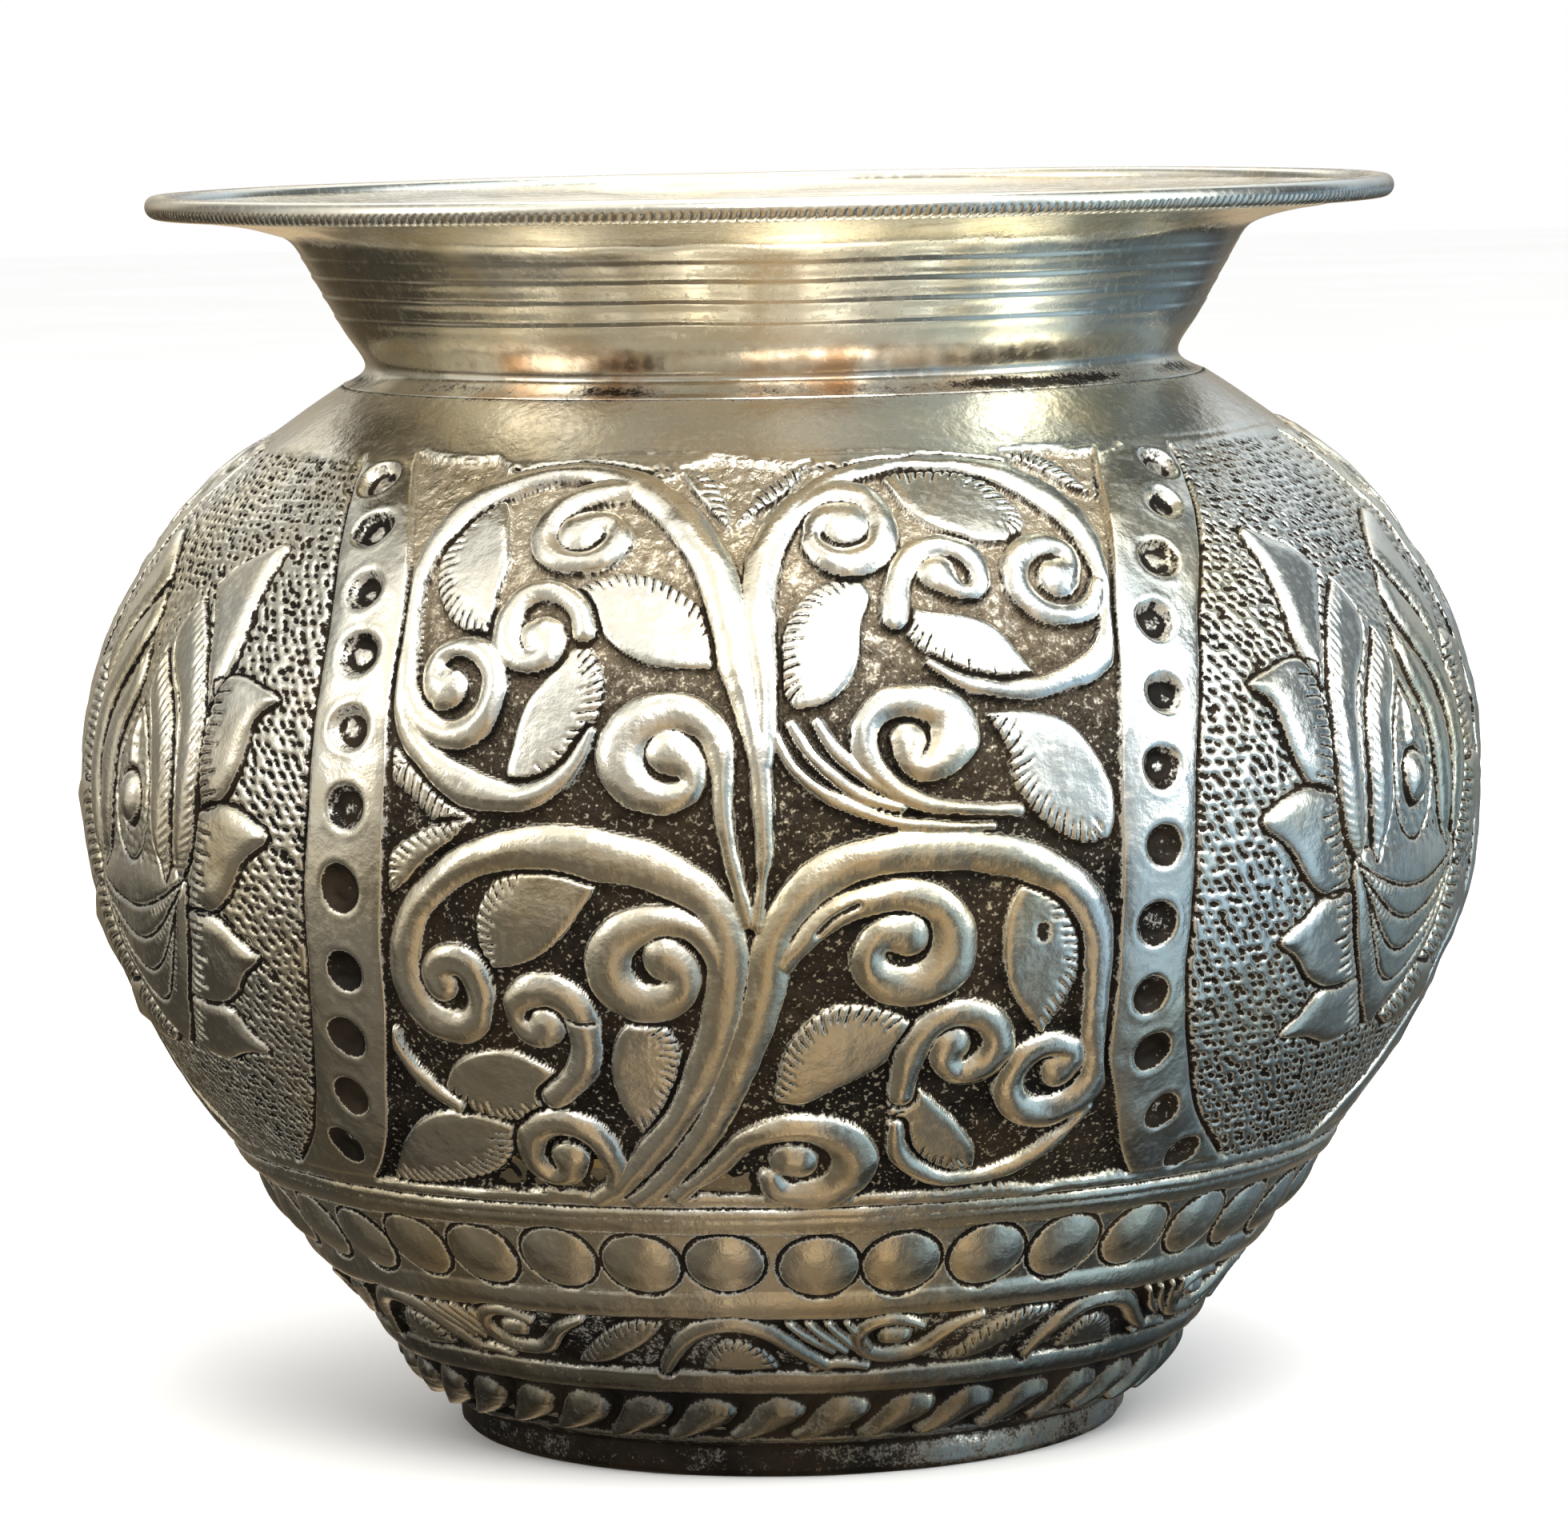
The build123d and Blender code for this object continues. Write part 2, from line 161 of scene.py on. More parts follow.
# Leaves of a vine panel: hatched edge, plain edge between the same ends, length of the hatch
LEAVES = [
    ("""-27.3,111.8 -29.8,110 -30.9,107 -31,104.5 -30.5,101.5 -29.5,99.4 -28.1,97.7 -26.4,96.6
        -24.8,96.2 -23.7,96.6""",
     "-25.9,109.8 -25.1,107.5 -24.4,105 -24.2,102.6 -24.4,100.3 -24.1,98.3", 2.0),
    ("-4.3,94.5 -5.4,97.8 -7.6,100.4 -10,102.1 -12.6,102.8 -15,102.4 -17.3,101.3",
     "-5.2,93 -7,92.9 -9.5,93.1 -12,94.2 -14,96 -15.6,98.7", 1.6),
    ("-19.5,81.3 -17,82.6 -15.6,84.3 -14.6,86.6 -14,88.8 -13.8,91 -14.4,93.5 -15.8,95.8",
     "-21,82.6 -20.9,85 -20.5,87.5 -19.7,90.2 -18.2,92.6 -17,94.6", 2.2),
    ("-31.2,85.2 -31.4,82.8 -30,81.3 -28.6,80 -27.2,78.4 -25.5,77.4 -24,78.6",
     "-29,83.6 -26.8,81.6", 3.2),
    ("-24.2,78.6 -27,78.1 -29.5,76.7 -31.2,74.9 -31.5,73 -31,71.5",
     "-25,77.4 -26.8,75.8 -28.6,74.1 -29.8,72.6", 1.6),
    ("-9.4,115.6 -7.2,115.4 -5.6,113.3 -4.7,110.8 -4.2,108",
     "-8.2,113.2 -6.7,111.2 -5.3,109.3", 1.7),
    ("-3.6,108.5 -2,111.8 0.5,114.6 3.5,116.4", "-1,110.6 1.5,113.2", 2.2),
    ("""10.6,114.2 13,115 16,115.2 18.7,114.9 20.8,113.5 22.3,111.2 23.3,108.6 22.8,106.6
        20.8,105.2""",
     "11.5,111.7 12.4,109.6 13.7,107.9 16,106.4 18.6,105.3", 2.2),
    ("6.8,102 4.5,101.6 2.6,100.4 1.3,98.4 0.4,96 0.1,93 0.3,90.8 1.3,88.9",
     "7.7,100 6.9,97.5 6.6,95 6.2,93 5.2,91 3.6,89.4", 1.9),
    ("9.9,99.2 9.9,97.3 10.6,95.5 11.8,93.8 13.3,92.3 15.3,91 17.6,90.2 19.6,90.3 20.7,91.6",
     "12.3,98.2 14.6,97.8 17,97 18.5,95.6 19.5,93.8", 2.0),
    ("16.2,88 16.8,86.5 17.6,84.3 17.8,82 18.6,79.8 20,77.8 21.7,76.3 23.8,75.5 25.4,76",
     "18.5,88.1 21,87.7 22.9,86.6 24.3,84.5 25.3,82.3 25.9,80.2 26,78", 2.1),
    ("25,117 28,117 30.3,115.5 31.5,113.2 32,111", "27.5,115.2 29.6,113.2 31,111.5", 2.4),
    ("32.5,110.5 33.5,112.6 35,114.3 37,115.8 39.5,117", "34,111.7 36,113.4 38,115.3", 2.0),
    ("-22.9,64.7 -23.7,66.5 -23.8,69.2 -23.2,71.3 -22.1,73.1 -20.6,74.6 -18.8,75.8 -16.8,76",
     "-21,65 -19,66 -17.5,67.3 -16.1,69.1 -15,71 -14.2,72.7 -15,74.3", 1.8),
    ("-30,51.4 -29.1,49.7 -27.6,48.6 -25.6,48 -23.3,48 -21.1,48.8 -19.2,50 -17.8,51.6",
     "-29,53.2 -27.6,54.6 -25.6,55.6 -23.4,55.9 -21.4,55.2 -19.6,53.9", 1.9),
    ("-11.2,59.8 -9.4,58.6 -8.5,56.3 -8.5,53.6 -9,51.3 -9.9,49.2 -11.1,47.7 -12.5,46.6",
     "-12.8,58.8 -13.8,56.8 -14.3,54.3 -14.2,51.5 -13.6,49", 2.0),
    ("-40.6,39.3 -37,39 -34,39.4 -31,40.1 -28.3,41.1 -26.4,42.6 -25.2,44.6 -24.7,46.9",
     "-38.5,42.3 -36,45.2 -33.5,47.3 -31,48.2 -28.6,48.2 -26.5,47.7", 2.4),
    ("19.3,73.3 20.9,71.8 22.2,69 23.2,66.2 23.4,64 23,62 22.2,59.8 20.9,57",
     "17.9,71.3 17.1,68.5 17,65.5 17.6,62.3 19,59.6", 1.9),
    ("-0.9,50.6 -0.6,53.4 0.2,56.6 1.7,59.1 3.6,60.6 6,60.8 8.2,60.2 9.8,59",
     "1.3,50.3 3.4,51.5 5.8,52.9 8.1,54.8 9.3,56.8", 1.7),
    ("9.6,52.2 8.8,50.5 8.6,48 9.1,45.8 10.5,43.6 12.4,42.1 14.5,41.2 17,41.8",
     "11.2,51.2 12.9,49.4 14.6,47.5 16,45.5 16.9,43.6", 2.1),
]

# Straps at the two sides of a vine panel: edge, edge, dimple centres, as (angle, level)
STRAPS = [[points(text) for text in strap] for strap in (
    ("""-50.5,118 -43.9,106.5 -41.3,100.2 -40,95 -39.2,89.4 -38.9,85 -38.9,79 -39.7,71.4
        -40.2,66.2 -40.9,61.4 -42.3,56.2 -44.3,51.4 -47,46.5 -52.5,41 -58,37.5""",
     """-42.6,118 -38.6,112.1 -36.2,107.8 -34,102.9 -33.2,99.6 -32.5,95 -31.9,89 -31.4,83.4
        -31.5,77 -31.9,71.4 -32.6,65.5 -33.2,60.7 -34.2,56.5 -35.6,52.2 -37.4,47 -40.4,42
        -45,37.5""",
     """-44,113.5 -40.1,107 -37.8,100.2 -36.2,93.8 -35.3,86.6 -35.1,79.3 -35.7,71.6
        -36.6,63.8 -38.4,56.6 -40.4,49.7 -44.2,43.6"""),
    ("""37,118 34.5,113.5 30.6,102.4 29,97 28.3,92.8 27.1,86 26.4,77.8 26.4,70.3 26.6,64.1
        26.9,58.4 27.6,53.3 29.1,49.4 30.9,44.5 33.8,39.6 36,37.3""",
     """48,118 43.5,109 39.4,101 37.5,97 35.9,92 34.4,86.3 33.6,82 33.2,78 33.1,72.8 33.1,67.4
        33.3,62 34.4,56.6 36.2,51.9 38.5,47.2 43,42 48.5,37.3""",
     """42.5,113.6 39.2,108.4 35.2,102.4 32.6,96 31.6,88.8 30.2,81.8 30,74.8 29.8,67.4
        30,60.4 31.6,53.8 34.8,46.7 40,40.9"""),
)]

# Petals of the right half of a flower about its axis: hatched edge, plain edge between the
# same ends, length of the hatch. The last three have no length: their hatch is short and faint.
PETALS = [
    ("12.3,78 12,81 11.8,84 12,87 12,90",
     "14.5,78.4 16.1,80.2 17.1,82.7 17.6,85.3 18.6,87.5 20.2,88.8 17.8,90 15.8,90.7 13.8,90.9",
     3.12),
    ("9.6,68.4 10.5,71.5 11.3,74.5 12,77.6",
     "11.8,67.8 13.8,68.6 15.6,70.4 16.9,72.6 18.6,74.2 20.4,75.8 18.5,77.5 16.4,78.4 14,78.4",
     3.24),
    ("5.9,59 7.6,62 8.8,65 9.4,67.8",
     "8.8,58.2 11.6,58.9 13.9,60.5 15.6,62.4 17.6,63.9 15.6,65.6 13.8,67.2 11.5,68", 3.24),
    ("2,53.2 4,56 5.6,58.6",
     "4.3,52 7.5,51.8 11,52.9 14.4,53.6 12.6,55.8 11.4,57.6 8.5,58.2", 2.88),
    ("11.3,87.6 10.3,90.5 9.3,93.6 7.6,96.8 5.6,99.5",
     "12.6,89.8 13.4,92.5 13.3,95.5 13.1,98.5 13.3,101.5 13.4,104.8 10.4,103.8 7.5,101.8", None),
    ("8.6,70.5 10.4,73 11.4,77 11.6,81 11.2,85 10.6,88.3 9.4,91.6 7.6,94.8 4.5,98.2",
     "8.3,74 8.6,78 8.4,82 7.6,86 6,89 4,91.8 3,95", None),
    ("6.6,70.5 7.3,74 7.5,78 7.2,82 6.3,85.5 4.6,88.6 1.8,92.7",
     "5.2,73 4.4,77 3.9,81 2.9,85 1.2,88.5", None),
]
# Calyx: right edge about the flower axis. Ribs: level at the axis, level at the ends, half span
CALYX = points("0,73.5 5,72.4 9,70.3 8.4,66 7,62 5,58.5 2.6,55 0,52.6")
CALYX_RIBS = ((67.4, 70.4, 8.5), (64.2, 69.7, 8.4), (60.9, 68.7, 8.0), (57.7, 67.2, 7.3))
ALMOND = points("""0,87.2 2.4,83 3.4,78.2 2.6,74 0,71.8 -2.6,74 -3.4,78.2 -2.4,83 0,87.2""")
# Half width of a flower's quiet middle in degrees, as (level, half width)
FLOWER_WIDTH = points("69.5,0 70.5,8.6 74,10.2 78,11.3 82,11.5 86,10.8 90,9.2 94,6.9 98,4 99.5,0")

# Leaf-scroll band of the bowl. The first column runs along the band, SCROLL_PITCH per repeat
SCROLL_REPEATS = 7
SCROLL_PITCH = 48.5
SCROLL_STEMS = [
    (points("10.5,21.6 6.5,19.4 3.9,17.2 0,16.5 -3.6,17.6 -4.4,19.7 -2.6,21.4 0.8,21.7 3.2,20.8"),
     [.6, .9, 1.05, 1.1, 1.1, 1.05, .95, .85, .6]),
    (points("-0.9,19.3 0.9,19.3"), [1.15, 1.15]),
    (points("19.5,14.9 22,18.2 25.2,20.6 29,21.3 33,20.1 36.7,17.6 40.5,15.4"),
     [.8, 1.05, 1.2, 1.25, 1.2, 1.05, .8]),
    *[([(35.6 + 2.3 * i, 21.6), (38 + 2.1 * i, 19.4), (41 + 1.6 * i, 17.6)], [.5, .7, .55])
      for i in range(4)],
    (points("38.5,15.2 42,15.7 45.5,15.3"), [.5, .75, .6]),
]
SCROLL_LEAVES = [
    ("7,15.1 10,17.6 13.6,20.2 17,21.6 21,21.4", "11,15.2 15,16.7 18.6,18.9"),
    ("24.2,14.9 25.4,17.2 28,18.9 31,18.4 33.4,16.6 34.4,14.9", "27.5,14.6 31,14.6"),
    ("41,20.9 42.6,22 45,22", "43.4,20.8"),
]


def leaf_edges(hatched, between):
    edge = points(hatched)
    return edge, [edge[0], *points(between), edge[-1]]


def turned(line, angle):
    return [(theta + angle, level) for theta, level in line]


# ==== curves ===========================================================================

def smooth(low, high, x):
    """Smooth step from 0 at low to 1 at high; low may be the larger."""
    t = np.clip((x - low) / (high - low), 0, 1)
    return t * t * (3 - 2 * t)


def ridge(x, centre, width):
    return np.exp(-((x - centre) / width) ** 2)


def at_least(values, floor, cells=...):
    """Raise values to floor over the cells, in place."""
    values[cells] = np.maximum(values[cells], floor)


def lengths(x, y):
    return np.concatenate([[0], np.cumsum(np.hypot(np.diff(x), np.diff(y)))])


def natural_spline(knots, values):
    """Natural cubic spline through (knots, values), as a function."""
    count, gap = len(knots), np.diff(knots)
    slope = np.diff(values) / gap
    matrix, change = np.eye(count), np.zeros(count)
    for i in range(1, count - 1):
        matrix[i, i - 1:i + 2] = gap[i - 1], 2 * (gap[i - 1] + gap[i]), gap[i]
        change[i] = 6 * (slope[i] - slope[i - 1])
    bend = np.linalg.solve(matrix, change)

    def curve(x):
        k = np.clip(np.searchsorted(knots, x, side="right") - 1, 0, count - 2)
        past, left = x - knots[k], knots[k + 1] - x
        return ((bend[k] * left ** 3 + bend[k + 1] * past ** 3) / (6 * gap[k])
                + (values[k] / gap[k] - bend[k] * gap[k] / 6) * left
                + (values[k + 1] / gap[k] - bend[k + 1] * gap[k] / 6) * past)
    return curve


def fine_curve(profile, step):
    """Evenly spaced (r, z) on the smooth curve through a profile, with the length at each."""
    r, z = np.array(profile, float).T
    knots = lengths(r, z)
    t = np.linspace(0, knots[-1], 6000)
    r, z = natural_spline(knots, r)(t), natural_spline(knots, z)(t)
    along = lengths(r, z)
    count = max(2, int(round(along[-1] / step)))
    even = np.linspace(0, along[-1], count + 1)
    return np.interp(even, along, r), np.interp(even, along, z), even


def outward(r, z):
    """Unit normals of a profile that runs up the outside."""
    dr, dz = np.gradient(r), np.gradient(z)
    size = np.hypot(dr, dz) + 1e-9
    return dz / size, -dr / size


SEAM = 37.3             # level where the bowl meets the belly
SEAM_Z = BOWL[-1][1]
WALL_R, WALL_Z, WALL_LEVEL = fine_curve(BOWL + BELLY, 0.05)
WALL_LEVEL = WALL_LEVEL + SEAM - np.interp(SEAM_Z, WALL_Z, WALL_LEVEL)
NORMAL_R, NORMAL_Z = outward(WALL_R, WALL_Z)
FOOT, TOP = WALL_LEVEL[0], WALL_LEVEL[-1]


def wall_radius(level):
    return np.interp(level, WALL_LEVEL, WALL_R)


def on_wall(levels, height):
    """(radius, z) of points at a height off the smooth wall, as rows x columns."""
    r, z, normal_r, normal_z = (np.interp(levels, WALL_LEVEL, values)[:, None]
                                for values in (WALL_R, WALL_Z, NORMAL_R, NORMAL_Z))
    return r + normal_r * height, z + normal_z * height


def wall_line(levels, height):
    """List of (radius, z) at one height off the wall."""
    r, z = on_wall(np.atleast_1d(levels), height)
    return list(zip(r[:, 0], z[:, 0]))


def smooth_line(line, widths=0.5, step=0.45):
    """Fine angle, level, half width and length on the smooth curve through (angle, level)."""
    theta, level = np.array(line, float).T
    widths = np.broadcast_to(np.array(widths, float), len(line))
    knots = lengths(np.radians(theta) * wall_radius(level.mean()), level)
    knots = knots + np.arange(len(knots)) * 1e-6
    t = np.linspace(0, knots[-1], max(2, int(math.ceil(knots[-1] / step))) + 1)
    return (natural_spline(knots, theta)(t), natural_spline(knots, level)(t),
            np.interp(t, knots, widths), t)


# ==== the unrolled wall ================================================================

class Sheet:
    """The unrolled wall between two levels: columns round the pot, rows up the wall."""

    def __init__(self, low, high):
        self.rows = int(round((high - low) / ROW_PITCH)) + 1
        self.levels = np.linspace(low, high, self.rows)
        self.radius = wall_radius(self.levels)
        self.pitch = self.levels[1] - self.levels[0]
        self.theta = -180 + np.arange(COLUMNS) * 360.0 / COLUMNS
        self.level = self.levels[:, None] + np.zeros(COLUMNS)
        self.height = self.new()
        # masks from 0 to 1
        self.mark = self.new()      # dark lines: chased outlines and hatching
        # pit: dark dimples and soiled parts, with painted shade low on the bowl
        self.pit = self.new()       # dark dimples and soiled parts
        self.ground = self.new()    # punched ground inside the vine panels
        self.punch = self.new()     # punch dents round the flowers
        self.cover = self.new()     # metal that stands above the punched grounds

    def new(self, value=0.0):
        return np.full((self.rows, COLUMNS), float(value))

    def patch(self, theta0, theta1, level0, level1):
        """Cells, rows and column angles of a patch."""
        row0 = max(0, int(math.floor((level0 - self.levels[0]) / self.pitch)))
        row1 = min(self.rows, int(math.ceil((level1 - self.levels[0]) / self.pitch)) + 1)
        column = np.arange(int(math.floor((theta0 + 180) * COLUMNS / 360)),
                           int(math.ceil((theta1 + 180) * COLUMNS / 360)) + 1)
        cells = np.ix_(np.arange(row0, max(row0, row1)), column % COLUMNS)
        return cells, slice(row0, max(row0, row1)), -180 + column * 360.0 / COLUMNS

    def away(self, centre):
        """Signed degrees from an angle."""
        return (self.theta[None, :] - centre + 180) % 360 - 180 + 0 * self.level

    def noise(self, seed, size):
        """Smooth seamless noise of unit spread and the given grain in mm."""
        rng = np.random.default_rng(seed)
        values = blur(rng.standard_normal((self.rows, COLUMNS)), size, self)
        return (values - values.mean()) / (values.std() + 1e-9)

    def lay(self, cells, inside, height, moat=0.42, depth=-0.55, share=1.0):
        """Put a raised piece over what is there, with a chased line cut round it."""
        old = self.height[cells]
        cut = np.minimum(old, old + (depth - old) * smooth(-moat, -0.12, inside))
        new = np.where(old > depth, cut, old)
        target = np.where(inside > 0.02, height, np.maximum(height, new))
        new = new + (target - new) * smooth(-0.16, 0.02, inside)
        self.height[cells] = old + (new - old) * share

    def hatch(self, piece, length, pitch=0.98, slant=0.45, depth=0.24, dark=1.0):
        """Short slanted chisel cuts that run in from the first edge of an outlined piece."""
        cells, inside, near, along = piece
        turn = (along + slant * near) / pitch
        line = (0.5 + 0.5 * np.cos(2 * math.pi * turn)) ** 3.4
        reach = length * (0.82 + 0.18 * np.sin(np.round(turn) * 2.399))
        cut = line * smooth(reach + 0.35, reach - 0.25, near) * smooth(0.02, 0.2, inside)
        cut = cut * (along > 0.6) * (along < along.max() - 0.5)
        self.height[cells] -= depth * cut
        at_least(self.mark, dark * cut, cells)

    def groove(self, line, width, depth):
        inside = Strokes(self).add(line, width, reach=0.6).inside
        cut = np.exp(-np.clip((width - inside) / width, 0, 9) ** 2)
        cut = np.where(inside > -0.75, cut, 0)
        self.height -= depth * cut
        at_least(self.mark, cut)


def blur(values, size, sheet):
    """Gaussian blur by size mm, seamless round the pot and mirrored at both ends."""
    pad = min(values.shape[0] - 1, int(3 * size / sheet.pitch) + 1)
    padded = np.concatenate([values[pad:0:-1], values, values[-2:-pad - 2:-1]])
    column_pitch = np.median(sheet.radius) * 2 * math.pi / COLUMNS
    up = np.fft.fftfreq(padded.shape[0])[:, None] * size / sheet.pitch
    across = np.fft.rfftfreq(padded.shape[1])[None, :] * size / column_pitch
    gauss = np.exp(-2 * math.pi ** 2 * (up ** 2 + across ** 2))
    out = np.fft.irfft2(np.fft.rfft2(padded) * gauss, s=padded.shape)
    return out[pad:pad + values.shape[0]]


class Strokes:
    """Inside distance, half width and length along, for a group of strokes on a sheet."""

    def __init__(self, sheet):
        self.sheet = sheet
        self.inside = sheet.new(-9.0)
        self.half = sheet.new(1.0)
        self.along = sheet.new()

    def add(self, line, widths, reach=0.9):
        theta, level, half, along = smooth_line(line, widths)
        sheet = self.sheet
        for i in range(len(theta) - 1):
            margin = max(half[i], half[i + 1]) + reach
            level_mid, theta_mid = (level[i] + level[i + 1]) / 2, (theta[i] + theta[i + 1]) / 2
            radius = max(20.0, float(wall_radius(level_mid)))
            side = math.degrees((margin + 0.3) / radius) + abs(theta[i + 1] - theta[i]) / 2
            cells, rows, angles = sheet.patch(
                theta_mid - side, theta_mid + side,
                min(level[i], level[i + 1]) - margin, max(level[i], level[i + 1]) + margin)
            x = np.radians(angles - theta_mid)[None, :] * sheet.radius[rows][:, None]
            y = (sheet.levels[rows] - level_mid)[:, None]
            x0 = math.radians(theta[i] - theta_mid) * wall_radius(level[i])
            x1 = math.radians(theta[i + 1] - theta_mid) * wall_radius(level[i + 1])
            y0 = level[i] - level_mid
            dx, dy = x1 - x0, level[i + 1] - level_mid - y0
            t = np.clip(((x - x0) * dx + (y - y0) * dy) / (dx * dx + dy * dy + 1e-12), 0, 1)
            width = half[i] + (half[i + 1] - half[i]) * t
            inside = width - np.hypot(x - x0 - t * dx, y - y0 - t * dy)
            old = self.inside[cells]
            take = inside > old
            self.inside[cells] = np.where(take, inside, old)
            self.half[cells] = np.where(take, width, self.half[cells])
            length = along[i] + (along[i + 1] - along[i]) * t
            self.along[cells] = np.where(take, length, self.along[cells])
        return self


def outline(sheet, edge_a, edge_b, margin=0.9):
    """A closed shape between two edges that share their ends: its cells, the signed inside
    distance, and the distance from the first edge and the length along it, for hatching."""
    theta_a, level_a, _, along_a = smooth_line(edge_a)
    theta_b, level_b, _, _ = smooth_line(edge_b)
    theta = np.concatenate([theta_a, theta_b[::-1][1:]])
    level = np.concatenate([level_a, level_b[::-1][1:]])
    side = math.degrees(margin / float(wall_radius(level.mean())))
    cells, rows, angles = sheet.patch(theta.min() - side, theta.max() + side,
                                      level.min() - margin, level.max() + margin)
    middle = (theta.min() + theta.max()) / 2
    x = np.radians(angles - middle)[None, :] * sheet.radius[rows][:, None]
    y = sheet.levels[rows][:, None] + 0 * x
    within = np.zeros(x.shape, bool)
    best, near_a = np.full(x.shape, 1e9), np.full(x.shape, 1e9)     # squared distances
    along = np.zeros(x.shape)
    for i in range(len(theta) - 1):
        y0, y1 = level[i], level[i + 1]
        if y0 != y1:
            crossed = (y0 > y) != (y1 > y)
            crossing = theta[i] + (y - y0) / (y1 - y0) * (theta[i + 1] - theta[i])
            within ^= crossed & (angles[None, :] < crossing)
        x0 = math.radians(theta[i] - middle) * wall_radius(y0)
        x1 = math.radians(theta[i + 1] - middle) * wall_radius(y1)
        dx, dy = x1 - x0, y1 - y0
        t = np.clip(((x - x0) * dx + (y - y0) * dy) / (dx * dx + dy * dy + 1e-12), 0, 1)
        distance = (x - x0 - t * dx) ** 2 + (y - y0 - t * dy) ** 2
        best = np.minimum(best, distance)
        if i < len(theta_a) - 1:
            take = distance < near_a
            near_a = np.where(take, distance, near_a)
            along = np.where(take, along_a[i] + (along_a[i + 1] - along_a[i]) * t, along)
    return cells, np.sqrt(best) * np.where(within, 1, -1), np.sqrt(near_a), along


def body(inside, half, base, dome, floor, crown=2.5):
    """Height of a raised piece: a steep chased edge and a crowned top."""
    x = np.clip(inside / half, 0, 1)
    top = base + dome * (1 - (1 - x) ** crown)
    return floor + (top - floor) * smooth(-0.16, 0.22, inside)


# ==== relief of the belly ==============================================================

def strap_line(line, panel):
    """The copies of a strap round the back stay steeper near the shoulder."""
    if panel == 0:
        return line
    base = min(line, key=lambda point: abs(point[1] - 93))[0]
    return [(base + (theta - base) * 0.35 if level > 94 else theta, level)
            for theta, level in line]


def mark_panel_ground(sheet, panel):
    """The ground between the two straps, with two arches and a ragged edge at the top."""
    level = sheet.level
    sides = []
    for edge in (STRAPS[0][1], STRAPS[1][0]):
        angles, levels = np.array(strap_line(edge, panel))[::-1].T
        sides.append(np.interp(sheet.levels, levels, angles)[:, None])
    theta = sheet.away(PANEL_TURN * panel)
    inside = np.minimum(theta - sides[0], sides[1] - theta) * math.pi / 180 \
        * sheet.radius[:, None]
    arch = 2.7 * smooth(13, 8, abs(theta + 19)) + 2.1 * smooth(15, 9, abs(theta - 14))
    rag = 0.35 * sheet.noise(90 + panel, 1.8)
    bottom = level - 38.5 + 0.6 * rag
    top = 0.42 * (117.5 - arch - level) + 0.45 * rag
    inside = np.minimum(inside, np.minimum(bottom, top))
    at_least(sheet.ground, smooth(-0.15, 0.45, inside))


def punch_rows(sheet, pitch_x=1.34, pitch_y=1.0, half_x=0.60, half_y=0.29, slant=-0.5):
    """Rows of slanted punch dents on a slightly uneven lattice, as a mask from 0 to 1."""
    rng = np.random.default_rng(5)
    across = int(round(2 * math.pi * 64 / pitch_x))
    up = int(math.ceil((sheet.levels[-1] - sheet.levels[0]) / pitch_y)) + 3
    shape = (up, across)
    stray_x, stray_y = rng.uniform(-0.27, 0.27, shape), rng.uniform(-0.25, 0.25, shape)
    power = rng.uniform(0.45, 1.1, shape)
    turn = rng.normal(slant, 0.22, shape)
    out = sheet.new()
    row = (sheet.levels - sheet.levels[0]) / pitch_y + 1
    column = (sheet.theta + 180) / 360 * across
    for k in range(sheet.rows):
        best = np.zeros(COLUMNS)
        for step_y in (-1, 0, 1):
            j = int(math.floor(row[k])) + step_y
            if j < 0 or j >= up:
                continue
            shear = 0.5 * (j % 2)
            base = np.floor(column - shear).astype(int)
            for step_x in (-1, 0, 1):
                i = (base + step_x) % across
                centre_x = base + step_x + 0.5 + shear + stray_x[j, i]
                centre_y = j + 0.5 + stray_y[j, i]
                x = (column - centre_x) * (2 * math.pi / across) * sheet.radius[k]
                y = (row[k] - centre_y) * pitch_y
                cos, sin = np.cos(turn[j, i]), np.sin(turn[j, i])
                u, v = (x * cos + y * sin) / half_x, (-x * sin + y * cos) / half_y
                best = np.maximum(best, power[j, i] * np.exp(-(u * u + v * v) ** 1.3))
        out[k] = best
    return out


def punch_flower_ground(sheet):
    """Outside the vine panels the wall is a touch lower and full of punch dents."""
    level = sheet.level
    floor = (1 - sheet.ground) * smooth(38.2, 39.2, level) * smooth(116.9, 115.8, level)
    sheet.height -= 0.1 * floor
    sheet.punch = punch_rows(sheet) * floor
    for centre in FLOWERS:
        wide = np.interp(level, *np.array(FLOWER_WIDTH).T)
        quiet = smooth(0.6, -0.2, abs(sheet.away(centre)) - wide) * (wide > 0)
        sheet.punch *= 1 - 0.6 * quiet


